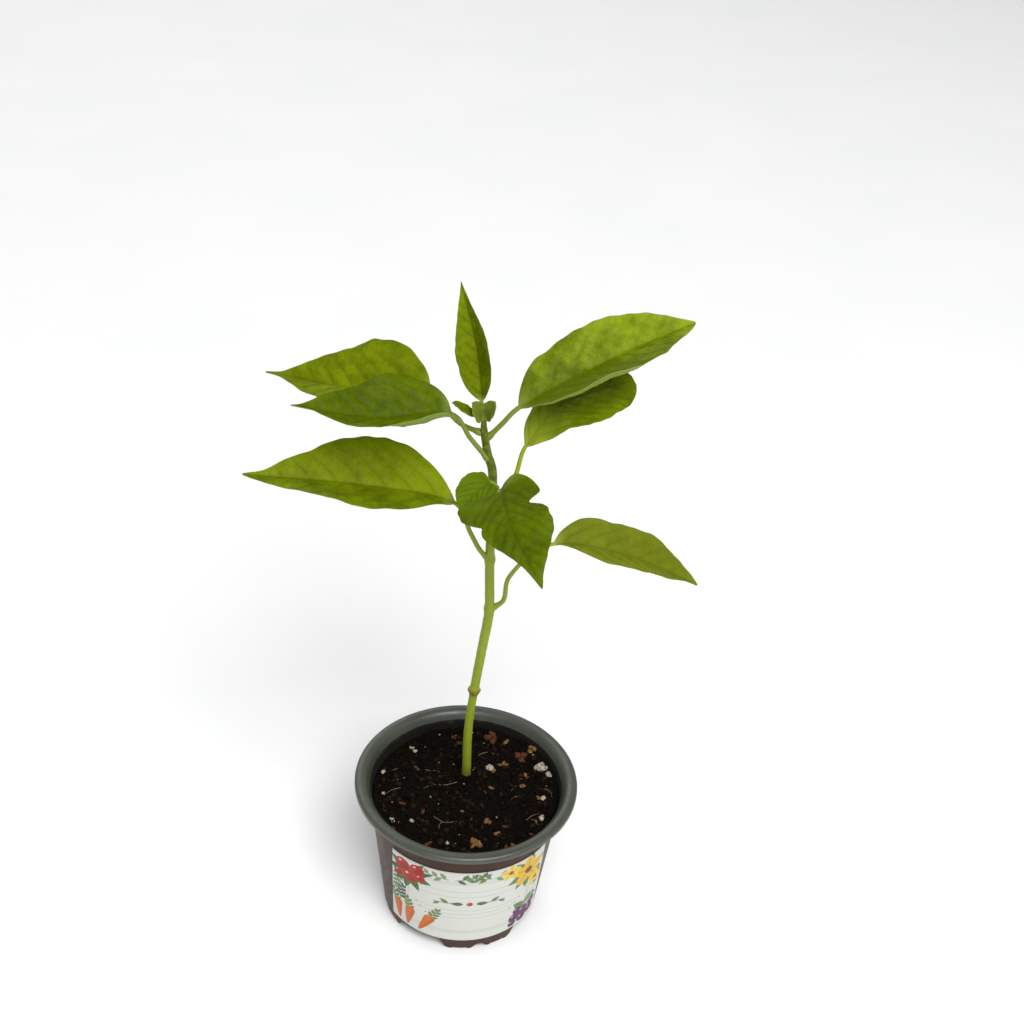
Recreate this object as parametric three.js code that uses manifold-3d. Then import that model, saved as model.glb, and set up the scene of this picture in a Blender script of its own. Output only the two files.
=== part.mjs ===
// A potted chilli pepper plant: a young plant with one stem and its leaves, standing in soil
// in a thin moulded nursery pot with a paper label round its front.
// Millimetres, +Z up. The origin is the middle of the pot's base, on the surface it stands on.
// -Y is the front, where the label is.

import * as THREE from 'three';
import { mergeVertices } from 'three/addons/utils/BufferGeometryUtils.js';
import Module from 'manifold-3d';

const wasm = await Module();
wasm.setup();

// ---- Driving dimensions ----

const GAP = 0.3; // clearance between two pieces that touch

const POT_HEIGHT = 76;
const POT_BASE_RADIUS = 37.2;
const POT_WALL_SLOPE = 0.121; // how far the wall leans out for each mm of height
const POT_SHEET = 1; // thickness of the moulded sheet
const POT_SIDES = 48;

const RIM_RADIUS = 52.5;
const RIM_INNER_RADIUS = 47.5;
const RIM_DROP = 3; // height of the rim's outer face
const RIM_ROUND = 1.6;
const RIM_ROOT = 5; // the wall starts to flare this far below the top

const FLOOR_RAISE = 8; // underside of the raised floor, above the surface
const FOOT_INNER_RADIUS = 29;
const FOOT_PAIRS = 4;
const WIDE_ARCH = { angle: -28, halfWidth: 14.5, topHalfWidth: 9, height: 6.7 };
const NARROW_ARCH = { angle: 17, halfWidth: 4.8, topHalfWidth: 0.8, height: 3 };
const DRAIN_RADIUS = 3;
const DRAIN_RING_RADIUS = 18;
const DRAIN_COUNT = 5;

const LABEL = { width: 81, height: 51.5, foot: 7.5, middleAngle: 7, thickness: 0.4 };

const SOIL_TOP = 66.5;
const SOIL_RINGS = 9;
const GRANULE_COUNT = 70;
const SEED = 7;

// Points on the middle line of the stem, from the tap root's end to the growing tip.
const STEM_POINTS = [
  [-1, 12.5, 36],
  [-0.3, 12, 66],
  [-0.6, 11, 97],
  [1.1, 10, 122],
  [4, 9, 152],
  [5.4, 8.5, 167],
  [4.4, 8, 190],
  [3.5, 7.5, 217],
  [2.6, 7, 242],
  [0.5, 7, 248.7],
  [-1.9, 6.5, 262],
  [-2.1, 6.3, 268],
];
// Radius of the stem at a height: the tap root, the swelling under the seed leaves' scars,
// and the slight swelling at each leaf.
const STEM_RADII = [
  [36, 0.7],
  [58, 1.9],
  [66, 2.3],
  [74, 2.1],
  [118, 1.9],
  [121, 2.6],
  [124, 2.1],
  [166, 2.2],
  [169, 2.5],
  [173, 2.1],
  [193, 2.1],
  [196, 2.5],
  [200, 2],
  [242, 1.9],
  [257, 1.6],
  [268, 1],
];
const STEM_BOTTOM = 36;
const STEM_TOP = 265.5;
const STEM_SIDES = 10;
const STEM_STEP = 8;

const BLADE_THICKNESS = 0.7;
const BLADE_COLUMNS = 6;
const STALK_STEPS = 6;
const STALK_TIP_RADIUS = 0.45;
const FOLD_SOFTNESS = 2; // how rounded the fold along the midrib is

// What a leaf has unless its own entry says otherwise. A pair is for its left and right half,
// looking from the stem to the tip with the upper face up.
const COMMON_LEAF = {
  stalk: 1.1, // radius of the stalk where it leaves the stem
  shoulder: 0.75, // how slowly the blade widens from its base
  taper: 1.3, // how early it narrows to its tip
  outlines: null, // the halves' outlines, where a shoulder and a taper don't do
  rise: [0.3, 0.3], // slope of each half up from the midrib
  flare: [0, 0], // extra slope of each half at the base
  curl: [0, 0], // how far each margin turns up
  curlEnd: 0.75, // share of the blade's length where the margins lie flat again
  wave: 1, // height of the margin's waves
  waves: 2.5,
  phase: 0,
  lag: 0.3,
  steps: 14, // pieces along the blade
  tint: 0x6f8c1e,
};

// Outlines of the left and right halves of some leaves, as [share of the blade's length, share of
// its widest] points. The front leaf's halves each have a round lobe at the base.
const LEFT_LOW_OUTLINES = [
  [[0, 0], [0.1, 0.38], [0.2, 0.68], [0.3, 0.88], [0.4, 0.98], [0.5, 1.03], [0.6, 0.87],
    [0.7, 0.63], [0.8, 0.44], [0.9, 0.22], [1, 0]],
  [[0, 0], [0.05, 0.22], [0.1, 0.46], [0.2, 0.83], [0.3, 1.01], [0.4, 1], [0.5, 0.96],
    [0.6, 0.83], [0.7, 0.64], [0.8, 0.42], [0.9, 0.12], [1, 0]],
];
const RIGHT_LOW_OUTLINES = [
  [[0, 0], [0.1, 0.6], [0.2, 0.85], [0.35, 0.92], [0.5, 0.9], [0.65, 0.82], [0.8, 0.62],
    [0.9, 0.4], [1, 0]],
  [[0, 0], [0.1, 0.25], [0.2, 0.55], [0.3, 0.92], [0.4, 1], [0.5, 1], [0.6, 0.76],
    [0.7, 0.55], [0.8, 0.33], [0.9, 0.12], [1, 0]],
];
const LEFT_BACK_OUTLINES = [
  [[0, 0], [0.05, 0.45], [0.1, 0.67], [0.2, 0.92], [0.3, 1], [0.4, 0.97], [0.5, 0.86],
    [0.6, 0.7], [0.7, 0.51], [0.8, 0.3], [0.9, 0.12], [1, 0]],
  [[0, 0], [0.03, 0.24], [0.06, 0.42], [0.1, 0.6], [0.2, 0.9], [0.3, 1], [0.4, 0.98],
    [0.5, 0.9], [0.6, 0.76], [0.7, 0.52], [0.8, 0.26], [0.9, 0.1], [1, 0]],
];
const RIGHT_HIGH_OUTLINES = [
  [[0, 0], [0.1, 0.48], [0.2, 0.74], [0.3, 0.86], [0.4, 0.9], [0.5, 0.88], [0.6, 0.87],
    [0.7, 0.82], [0.8, 0.6], [0.9, 0.3], [1, 0]],
  [[0, 0], [0.1, 0.48], [0.2, 0.76], [0.3, 0.92], [0.4, 0.99], [0.5, 0.98], [0.6, 0.9],
    [0.7, 0.75], [0.8, 0.54], [0.9, 0.28], [1, 0]],
];
const FRONT_OUTLINES = [
  [[0, 0], [0.03, 0.34], [0.06, 0.54], [0.1, 0.69], [0.16, 0.78], [0.21, 0.77], [0.245, 0.6],
    [0.28, 0.52], [0.32, 0.63], [0.38, 0.78], [0.48, 0.86], [0.6, 0.81], [0.7, 0.65],
    [0.8, 0.41], [0.9, 0.17], [1, 0]],
  [[0, 0], [0.03, 0.5], [0.08, 0.8], [0.16, 1], [0.23, 1], [0.3, 0.9], [0.36, 0.76],
    [0.405, 0.6], [0.44, 0.63], [0.48, 0.62], [0.55, 0.53], [0.67, 0.32], [0.74, 0.22],
    [0.82, 0.13], [0.91, 0.06], [1, 0]],
];

// Each leaf: the height where its stalk leaves the stem, the bends of the stalk, the base,
// middle and tip of the blade along the midrib, the widest half widths, and the way that the
// upper face looks.
const LEAVES = [
  {
    name: 'leaf_left_low', root: 196, bends: [[0, 6, 201.5], [-5, 3, 213]],
    base: [-11.5, 1, 228], middle: [-49.5, -8, 240], tip: [-97.5, -14, 245.5],
    half: [15.5, 18.5], face: [0, -0.4, 0.9], rise: [0.6, 0.5], waves: 2,
    outlines: LEFT_LOW_OUTLINES,
  },
  {
    name: 'leaf_right_low', root: 169, bends: [[11, 7.5, 174.5], [13, 5, 189.5]],
    base: [30, 0, 211.5], middle: [61, 1, 208], tip: [95.5, 9, 188.5],
    half: [13.5, 10], face: [0, -0.35, 0.9], rise: [0.35, 0.55], wave: 0.8, waves: 2,
    outlines: RIGHT_LOW_OUTLINES,
  },
  {
    name: 'leaf_front', root: 210, bends: [[7, -1, 230]],
    base: [6.5, -8, 241.5], middle: [11.5, -34, 241], tip: [24.5, -55, 227.5],
    half: [19, 19], face: [-0.35, -0.45, 1], rise: [-0.05, 0.05], flare: [0.8, 0],
    wave: 0.8, waves: 2.9, phase: -0.03, lag: 0, steps: 22, outlines: FRONT_OUTLINES,
  },
  {
    name: 'leaf_front_small', root: 231, bends: [[3.2, 4, 234]],
    base: [3.4, 1.5, 239], middle: [-2.3, -2.5, 237.7], tip: [-9, -10.5, 233],
    half: [8, 8.5], face: [-0.2, -0.35, 1], shoulder: 0.35, taper: 0.6, stalk: 0.9, wave: 0.4,
    tint: 0x83a516,
  },
  {
    name: 'leaf_left_back', root: 259, bends: [[-11.5, 12, 260]],
    base: [-25, 20, 267.5], middle: [-60, 35, 261], tip: [-98, 51, 257.5],
    half: [16, 21.5], face: [0.1, -0.4, 0.9], rise: [0.45, 0.4], outlines: LEFT_BACK_OUTLINES,
  },
  {
    name: 'leaf_left_front', root: 246, bends: [[-7, 4, 258]],
    base: [-15, 0, 271], middle: [-45, -12, 274], tip: [-76, -22, 283],
    half: [12, 16], face: [0.1, -0.3, 0.9], rise: [0.6, 0.5], curl: [6.5, 0],
    curlEnd: 0.5, shoulder: 0.65,
  },
  {
    name: 'leaf_top', root: 262.5, bends: [[-2.5, 9.5, 267]],
    base: [-3.3, 9.9, 271.8], middle: [-6.5, 13, 293], tip: [-14.5, 20, 319.5],
    half: [8, 6], face: [-0.3, -1, 0.2], rise: [0.5, 0.6], shoulder: 0.8, stalk: 0.8, wave: 0.5,
  },
  {
    name: 'leaf_right_high', root: 256, bends: [[5.5, 8, 263.5]],
    base: [11.5, 11, 269.5], middle: [46.5, 28, 285], tip: [83.5, 44, 297.5],
    half: [17.5, 21.5], face: [-0.3, -0.45, 0.9], rise: [0.5, 0.55], curl: [0, 7],
    outlines: RIGHT_HIGH_OUTLINES, tint: 0x7c9a22,
  },
  {
    name: 'leaf_right_under', root: 225, bends: [[12, 9, 237.5]],
    base: [15.5, 12, 250.5], middle: [28.5, 17, 268.5], tip: [59, 27, 277.5],
    half: [15, 16.5], face: [-0.3, -0.5, 0.8], rise: [-0.15, 0.2], shoulder: 0.9, taper: 0.55,
    wave: 0.7,
  },
];

// The unopened leaves at the growing tip, which is one piece with them.
const BUD_ROOT = [-2.1, 6.3, 266.2];
const BUD_LEAVES = [
  {
    bends: [[-3.6, 6, 267]], base: [-5, 5.5, 268],
    middle: [-9, 2, 272], tip: [-14.5, -4, 278.5], half: [2.5, 2.5], face: [0.3, -0.6, 1],
  },
  {
    bends: [[-2.4, 5.6, 266.3]], base: [-2.7, 5.2, 266.6],
    middle: [-4, 4, 270.5], tip: [-6.8, 3.2, 275], half: [4.4, 3.6], face: [0.8, -0.6, 0.3],
  },
  {
    bends: [[-1.8, 6, 266.3]], base: [-1.4, 5.8, 266.6],
    middle: [-0.2, 5.2, 270.5], tip: [1.9, 5, 275], half: [3.6, 4.4], face: [-0.8, -0.6, 0.3],
  },
];
const COMMON_BUD_LEAF = { stalk: 0.8, shoulder: 0.5, taper: 0.6, wave: 0.2, steps: 6 };
const BUD_STALK_STEPS = 3;
const BUD_COLUMNS = 2;

// ---- Helpers ----

const vector = (point) => new THREE.Vector3(...point);
const radians = (degrees) => THREE.MathUtils.degToRad(degrees);
const wallRadius = (height) => POT_BASE_RADIUS + POT_WALL_SLOPE * height;

function toSolid(geometry) {
  const bare = geometry.clone();
  bare.deleteAttribute('normal');
  bare.deleteAttribute('uv');
  const merged = mergeVertices(bare, 1e-4);
  return new wasm.Manifold(new wasm.Mesh({
    numProp: 3,
    vertProperties: new Float32Array(merged.attributes.position.array),
    triVerts: new Uint32Array(merged.index.array),
  }));
}

function toGeometry(solid) {
  const mesh = solid.getMesh();
  const geometry = new THREE.BufferGeometry();
  geometry.setAttribute('position', new THREE.BufferAttribute(mesh.vertProperties, 3));
  geometry.setIndex(new THREE.BufferAttribute(mesh.triVerts, 1));
  geometry.computeVertexNormals();
  return geometry;
}

// A solid turned round the upright axis from a profile of [radius, height] points.
function turned(profile, sides = POT_SIDES) {
  const points = profile.map(([radius, height]) => new THREE.Vector2(radius, height));
  const geometry = new THREE.LatheGeometry(points, sides);
  geometry.rotateX(Math.PI / 2);
  return toSolid(geometry);
}

function upright(radius, bottom, top, x, y) {
  const geometry = new THREE.CylinderGeometry(radius, radius, top - bottom, 16);
  geometry.rotateX(Math.PI / 2);
  geometry.translate(x, y, (top + bottom) / 2);
  return toSolid(geometry);
}

// A closed skin over rings of points. Each ring runs over the upper side from left to right
// and back under it, and both sides are split into triangles alike.
function skinned(rings) {
  const size = rings[0].length;
  const half = size / 2;
  const positions = rings.flat().flatMap((point) => point.toArray());
  const index = [];
  const last = (rings.length - 1) * size;
  for (let ring = 0; ring < rings.length - 1; ring += 1) {
    for (let side = 0; side < size; side += 1) {
      const a = ring * size + side;
      const b = ring * size + ((side + 1) % size);
      const c = a + size;
      const d = b + size;
      if (side < half) {
        index.push(a, d, c, a, b, d);
      } else {
        index.push(a, b, c, b, d, c);
      }
    }
  }
  for (let side = 0; side < half - 1; side += 1) {
    const over = side;
    const under = size - 1 - side;
    index.push(over, under, under - 1, over, under - 1, over + 1);
    index.push(last + over, last + under - 1, last + under, last + over, last + over + 1,
      last + under - 1);
  }
  const geometry = new THREE.BufferGeometry();
  geometry.setAttribute('position', new THREE.BufferAttribute(new Float32Array(positions), 3));
  geometry.setIndex(index);
  const solid = toSolid(geometry);
  if (solid.volume() > 0) return solid;
  for (let corner = 0; corner < index.length; corner += 3) {
    [index[corner], index[corner + 1]] = [index[corner + 1], index[corner]];
  }
  geometry.setIndex(index);
  return toSolid(geometry);
}

// ---- Stem ----

const stemCurve = new THREE.CatmullRomCurve3(STEM_POINTS.map(vector));
const stemLine = stemCurve.getPoints(400);

function stemPoint(height) {
  const above = stemLine.findIndex((point) => point.z >= height);
  const upper = above > 0 ? above : 1;
  const [low, high] = [stemLine[upper - 1], stemLine[upper]];
  return low.clone().lerp(high, (height - low.z) / (high.z - low.z));
}

function stemRadius(height) {
  const found = STEM_RADII.findIndex(([level]) => level >= height);
  const upper = found < 0 ? STEM_RADII.length - 1 : Math.max(found, 1);
  const [[low, thin], [high, thick]] = [STEM_RADII[upper - 1], STEM_RADII[upper]];
  const share = THREE.MathUtils.clamp((height - low) / (high - low), 0, 1);
  return thin + (thick - thin) * THREE.MathUtils.smoothstep(share, 0, 1);
}

function stemHeights() {
  const heights = STEM_RADII.map(([level]) => level).filter((level) => level < STEM_TOP - 1);
  for (let height = STEM_BOTTOM; height < STEM_TOP; height += STEM_STEP) {
    if (heights.every((level) => Math.abs(level - height) > STEM_STEP / 2)) {
      heights.push(height);
    }
  }
  heights.push(STEM_TOP);
  return heights.sort((a, b) => a - b);
}

function stemSolid(extra = 0) {
  const rings = stemHeights().map((height) => {
    const middle = stemPoint(height);
    const along = stemPoint(height + 1).sub(stemPoint(height - 1)).normalize();
    const side = new THREE.Vector3(1, 0, 0).addScaledVector(along, -along.x).normalize();
    const front = new THREE.Vector3().crossVectors(along, side);
    const end = height === STEM_TOP || height === STEM_BOTTOM;
    const centre = end ? middle.addScaledVector(along, height === STEM_TOP ? extra : -extra)
      : middle;
    const ring = [];
    for (let corner = 0; corner < STEM_SIDES; corner += 1) {
      const angle = ((corner + 0.5) * 2 * Math.PI) / STEM_SIDES;
      ring.push(centre.clone()
        .addScaledVector(side, -Math.cos(angle) * (stemRadius(height) + extra))
        .addScaledVector(front, Math.sin(angle) * (stemRadius(height) + extra)));
    }
    return ring;
  });
  return skinned(rings);
}

// ---- Leaves ----

// A smooth curve of values through [share, value] points.
function smoothThrough(knots, share) {
  const last = knots.length - 1;
  const upper = Math.max(1, knots.findIndex(([at]) => at >= share));
  const [[start, low], [end, high]] = [knots[upper - 1], knots[upper]];
  const span = end - start;
  const slope = (index) => ((knots[index + 1][1] - knots[index - 1][1])
    / (knots[index + 1][0] - knots[index - 1][0]));
  const steep = (1.5 * (high - low)) / span;
  const leave = upper === 1 ? steep : slope(upper - 1);
  const arrive = upper === last ? steep : slope(upper);
  const t = (share - start) / span;
  const value = (2 * t ** 3 - 3 * t ** 2 + 1) * low + (t ** 3 - 2 * t ** 2 + t) * span * leave
    + (3 * t ** 2 - 2 * t ** 3) * high + (t ** 3 - t ** 2) * span * arrive;
  return Math.max(0, value);
}

// Half width of the blade's left (0) or right (1) half, as a share of its widest.
function bladeProfile(leaf, share, half) {
  if (share <= 0 || share >= 1) return 0;
  if (leaf.outlines) return smoothThrough(leaf.outlines[half], share);
  const widest = leaf.shoulder / (leaf.shoulder + leaf.taper);
  return (share / widest) ** leaf.shoulder * ((1 - share) / (1 - widest)) ** leaf.taper;
}

// Height of the blade over the midrib's plane, at a share of its length and of its half width.
function bladeLift(leaf, share, across, halfWidth) {
  const half = across > 0 ? 1 : 0;
  const x = across * halfWidth;
  const fold = leaf.rise[half] * (Math.hypot(x, FOLD_SOFTNESS) - FOLD_SOFTNESS);
  const flare = leaf.flare[half] * Math.abs(x) * Math.exp(-((share / 0.075) ** 2));
  const edge = Math.max(0, (Math.abs(across) - 0.68) / 0.32);
  const curled = share < leaf.curlEnd ? Math.sin((Math.PI * share) / leaf.curlEnd) : 0;
  const fade = Math.min(1, share / 0.1, (1 - share) / 0.12);
  const turn = leaf.waves * share + leaf.phase + half * leaf.lag;
  const waved = leaf.wave * Math.abs(across) ** 1.5 * Math.sin(2 * Math.PI * turn) * fade;
  return fold + flare + leaf.curl[half] * edge ** 2 * curled + waved;
}

// How much taller than thick the blade stands at a point, because it slopes there.
function bladeSteepness(leaf, share, across, halfWidth) {
  const side = across === 0 ? 1 : Math.sign(across);
  const inner = across - 0.2 * side;
  const rise = bladeLift(leaf, share, across, halfWidth)
    - bladeLift(leaf, share, inner, halfWidth);
  return Math.min(2, Math.hypot(1, rise / (0.2 * halfWidth)));
}

// A leaf with its stalk, as one body: round where it is stalk, flattening into the blade with
// the midrib standing out below.
function leafSolid(leaf, root, stalkSteps, columns) {
  const stops = [root, ...leaf.bends.map(vector), vector(leaf.base), vector(leaf.middle),
    vector(leaf.tip)];
  const curve = new THREE.CatmullRomCurve3(stops);
  curve.arcLengthDivisions = 60 * (stops.length - 1);
  const lengths = curve.getLengths();
  const total = lengths[lengths.length - 1];
  const baseAt = lengths[60 * (leaf.bends.length + 1)] / total;
  const stations = [];
  for (let step = 0; step < stalkSteps; step += 1) {
    stations.push((baseAt * step) / stalkSteps);
  }
  for (let step = 0; step <= leaf.steps; step += 1) {
    stations.push(baseAt + (1 - baseAt) * Math.min(step / leaf.steps, 0.985));
  }
  const face = vector(leaf.face);
  const reach = 0.6 / total;
  const count = columns + 1;
  const rings = stations.map((station) => {
    const middle = curve.getPointAt(station);
    const along = curve.getPointAt(Math.min(1, station + reach))
      .sub(curve.getPointAt(Math.max(0, station - reach))).normalize();
    const up = face.clone().addScaledVector(along, -face.dot(along)).normalize();
    const right = new THREE.Vector3().crossVectors(along, up);
    const share = Math.max(0, (station - baseAt) / (1 - baseAt));
    const radius = leaf.stalk + (STALK_TIP_RADIUS - leaf.stalk) * station;
    const widths = leaf.half.map((width, half) => (
      Math.max(width * bladeProfile(leaf, share, half), BLADE_THICKNESS / 2)));
    const flat = share > 0.5 ? 1
      : THREE.MathUtils.clamp((Math.max(...widths) - 0.5 * radius) / (2 * radius), 0, 1);
    const over = [];
    const under = [];
    for (let column = 0; column < count; column += 1) {
      const across = -1 + (2 * column) / columns;
      const halfWidth = widths[across > 0 ? 1 : 0];
      const angle = (Math.PI * (column + 0.5)) / count;
      const x = across * halfWidth;
      const lift = bladeLift(leaf, share, across, halfWidth);
      const rib = Math.sqrt(Math.max(0, radius ** 2 - x ** 2));
      const round = new THREE.Vector2(-Math.cos(angle), Math.sin(angle)).multiplyScalar(radius);
      const thick = (BLADE_THICKNESS / 2) * bladeSteepness(leaf, share, across, halfWidth);
      const top = new THREE.Vector2(x, lift + thick);
      const bottom = new THREE.Vector2(x, lift - thick - rib);
      over.push(round.clone().lerp(top, flat));
      under.push(new THREE.Vector2(round.x, -round.y).lerp(bottom, flat));
    }
    return [...over, ...under.reverse()].map((point) => (
      middle.clone().addScaledVector(right, point.x).addScaledVector(up, point.y)));
  });
  return skinned(rings);
}

// ---- Pot ----

// A tunnel through the pot's foot, running out from the middle at an angle from the front.
function archCutter(arch, extra) {
  const wide = arch.halfWidth + extra;
  const narrow = arch.topHalfWidth + extra;
  const top = arch.height + extra;
  const bend = 0.5 * (wide - narrow);
  const below = -2;
  const outline = new THREE.Shape();
  outline.moveTo(-wide, below);
  outline.lineTo(wide, below);
  outline.lineTo(wide, 0);
  outline.bezierCurveTo(wide - bend, top * 0.03, narrow + bend, top, narrow, top);
  outline.lineTo(-narrow, top);
  outline.bezierCurveTo(-narrow - bend, top, bend - wide, top * 0.03, -wide, 0);
  const inner = FOOT_INNER_RADIUS - 4;
  const geometry = new THREE.ExtrudeGeometry(outline, {
    depth: RIM_RADIUS - inner, bevelEnabled: false, curveSegments: 3,
  });
  geometry.rotateX(Math.PI / 2);
  geometry.translate(0, -inner, 0);
  return geometry;
}

function archCutters(extra) {
  const cutters = [];
  for (let pair = 0; pair < FOOT_PAIRS; pair += 1) {
    for (const arch of [WIDE_ARCH, NARROW_ARCH]) {
      const geometry = archCutter(arch, extra);
      geometry.rotateZ(radians(arch.angle + (pair * 360) / FOOT_PAIRS));
      cutters.push(toSolid(geometry));
    }
  }
  return cutters.reduce((all, cutter) => all.add(cutter));
}

// The room inside the pot's sheet, shrunk by `inset` and cut level at `top`.
function insideSolid(inset, top) {
  const away = POT_SHEET + inset;
  const floor = FLOOR_RAISE + away;
  const profile = [
    [0, floor],
    [FOOT_INNER_RADIUS - 1 + inset, floor],
    [FOOT_INNER_RADIUS + inset, away],
    [wallRadius(away) - away - 0.6, away],
    [wallRadius(away + 1) - away, away + 1],
    [wallRadius(top) - away, top],
    [0, top],
  ];
  return turned(profile).subtract(archCutters(away));
}

function potSolid() {
  const root = POT_HEIGHT - RIM_ROOT;
  const skirtTop = POT_HEIGHT - POT_SHEET;
  const lip = POT_HEIGHT - RIM_DROP;
  const outline = [
    [0, FLOOR_RAISE],
    [FOOT_INNER_RADIUS - 2, FLOOR_RAISE],
    [FOOT_INNER_RADIUS - 1, 0],
    [POT_BASE_RADIUS - 1, 0],
    [wallRadius(1), 1],
    [wallRadius(root), root],
    [RIM_INNER_RADIUS + 0.6, lip],
    [RIM_INNER_RADIUS + POT_SHEET, skirtTop - 0.4],
    [RIM_RADIUS - POT_SHEET - 0.3, skirtTop - 0.4],
    [RIM_RADIUS - POT_SHEET, lip],
    [RIM_RADIUS - 0.3, lip],
    [RIM_RADIUS, lip + 0.5],
    [RIM_RADIUS, POT_HEIGHT - RIM_ROUND],
    [RIM_RADIUS - RIM_ROUND * 0.3, POT_HEIGHT - RIM_ROUND * 0.3],
    [RIM_RADIUS - RIM_ROUND, POT_HEIGHT],
    [RIM_INNER_RADIUS + RIM_ROUND, POT_HEIGHT],
    [RIM_INNER_RADIUS, POT_HEIGHT - RIM_ROUND],
    [RIM_INNER_RADIUS - 0.6, lip],
    [wallRadius(root) - POT_SHEET, root],
    [0, root],
  ];
  const drains = [];
  for (let hole = 0; hole < DRAIN_COUNT; hole += 1) {
    const angle = (hole * 2 * Math.PI) / DRAIN_COUNT;
    drains.push(upright(DRAIN_RADIUS, 0, FLOOR_RAISE + 2 * POT_SHEET,
      DRAIN_RING_RADIUS * Math.sin(angle), -DRAIN_RING_RADIUS * Math.cos(angle)));
  }
  const body = turned(outline).subtract(archCutters(0)).subtract(insideSolid(0, root + 1));
  return drains.reduce((pot, drain) => pot.subtract(drain), body);
}

// ---- Label ----

function labelSolid() {
  const rows = 3;
  const columns = 28;
  const rings = [];
  for (let row = 0; row <= rows; row += 1) {
    const height = LABEL.foot + (LABEL.height * row) / rows;
    const halfAngle = LABEL.width / 2 / wallRadius(height);
    const over = [];
    const under = [];
    for (let column = 0; column <= columns; column += 1) {
      const angle = radians(LABEL.middleAngle) + halfAngle * (-1 + (2 * column) / columns);
      const inner = wallRadius(height) + GAP;
      const outer = inner + LABEL.thickness;
      over.push(new THREE.Vector3(outer * Math.sin(angle), -outer * Math.cos(angle), height));
      under.push(new THREE.Vector3(inner * Math.sin(angle), -inner * Math.cos(angle), height));
    }
    rings.push([...over, ...under.reverse()]);
  }
  return skinned(rings);
}

// ---- Soil ----

// Repeatable draws between 0 and 1.
function drawer(seed) {
  let state = seed;
  return () => {
    state = (state * 1103515245 + 12345) % 2147483648;
    return state / 2147483648;
  };
}

function soilLift(x, y, granules) {
  let lift = 0.5 * Math.sin(x / 7 + 1) * Math.cos(y / 6) + 0.35 * Math.sin(x / 3.1 + y / 4.3);
  for (const { at, size } of granules) {
    const away = Math.hypot(x - at.x, y - at.y) / size;
    if (away < 1) lift += 0.6 * size * (1 - away ** 2);
  }
  return lift;
}

function soilSolid() {
  const draw = drawer(SEED);
  const radius = wallRadius(SOIL_TOP) - POT_SHEET - GAP;
  const granules = [];
  for (let count = 0; count < GRANULE_COUNT; count += 1) {
    const reach = Math.sqrt(draw()) * (radius - 3);
    const angle = draw() * 2 * Math.PI;
    granules.push({
      at: new THREE.Vector2(reach * Math.cos(angle), reach * Math.sin(angle)),
      size: 1.2 + 1.6 * draw() ** 2,
    });
  }
  const bottom = SOIL_TOP - 12;
  const wall = [new THREE.Vector2(0, bottom)];
  for (let ring = SOIL_RINGS; ring >= 1; ring -= 1) {
    const height = ring === SOIL_RINGS ? SOIL_TOP - 0.5 : SOIL_TOP;
    if (ring === SOIL_RINGS) wall.push(new THREE.Vector2(radius, bottom));
    wall.push(new THREE.Vector2((radius * ring) / SOIL_RINGS, height));
  }
  wall.push(new THREE.Vector2(0, SOIL_TOP));
  const crust = new THREE.LatheGeometry(wall, 32);
  crust.rotateX(Math.PI / 2);
  const places = crust.attributes.position;
  for (let corner = 0; corner < places.count; corner += 1) {
    const [x, y, z] = [places.getX(corner), places.getY(corner), places.getZ(corner)];
    const inward = THREE.MathUtils.clamp((radius - Math.hypot(x, y)) / 3, 0, 1);
    if (z > SOIL_TOP - 1) places.setZ(corner, z + inward * soilLift(x, y, granules));
  }
  return insideSolid(GAP, SOIL_TOP - 2).add(toSolid(crust).intersect(
    turned([[0, bottom - 1], [wallRadius(bottom) - POT_SHEET - GAP, bottom - 1],
      [wallRadius(SOIL_TOP + 8) - POT_SHEET - GAP, SOIL_TOP + 8], [0, SOIL_TOP + 8]]),
  )).subtract(stemSolid(GAP));
}

// ---- The plant in its pot ----

const plant = new THREE.Group();

function place(name, solid, color, roughness) {
  const material = new THREE.MeshStandardMaterial({ color, roughness, metalness: 0 });
  const mesh = new THREE.Mesh(toGeometry(solid), material);
  mesh.name = name;
  plant.add(mesh);
}

place('pot', potSolid(), 0x5f4a45, 0.55);
place('label', labelSolid(), 0xe6eae0, 0.6);
place('soil', soilSolid(), 0x1d1713, 0.95);
place('main_stem', stemSolid(), 0x7c9238, 0.5);

const stemRoom = stemSolid(GAP);
for (const entry of LEAVES) {
  const leaf = { ...COMMON_LEAF, ...entry };
  const solid = leafSolid(leaf, stemPoint(leaf.root), STALK_STEPS, BLADE_COLUMNS);
  place(leaf.name, solid.subtract(stemRoom), leaf.tint, 0.45);
}

const budLeaves = BUD_LEAVES.map((entry) => leafSolid(
  { ...COMMON_LEAF, ...COMMON_BUD_LEAF, ...entry },
  vector(BUD_ROOT), BUD_STALK_STEPS, BUD_COLUMNS,
));
place('shoot_tip', budLeaves.reduce((all, leaf) => all.add(leaf)).subtract(stemRoom), 0x86a03a,
  0.45);

export default plant;
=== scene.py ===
# Looks of a potted chilli pepper plant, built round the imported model.
# Metres, +Z up. Shapes are worked out in millimetres and turned to metres at the end.

from math import cos, dist, exp, hypot, pi, radians, sin, sqrt

import bmesh
import bpy
import numpy as np
from mathutils import Matrix, Vector, noise


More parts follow.
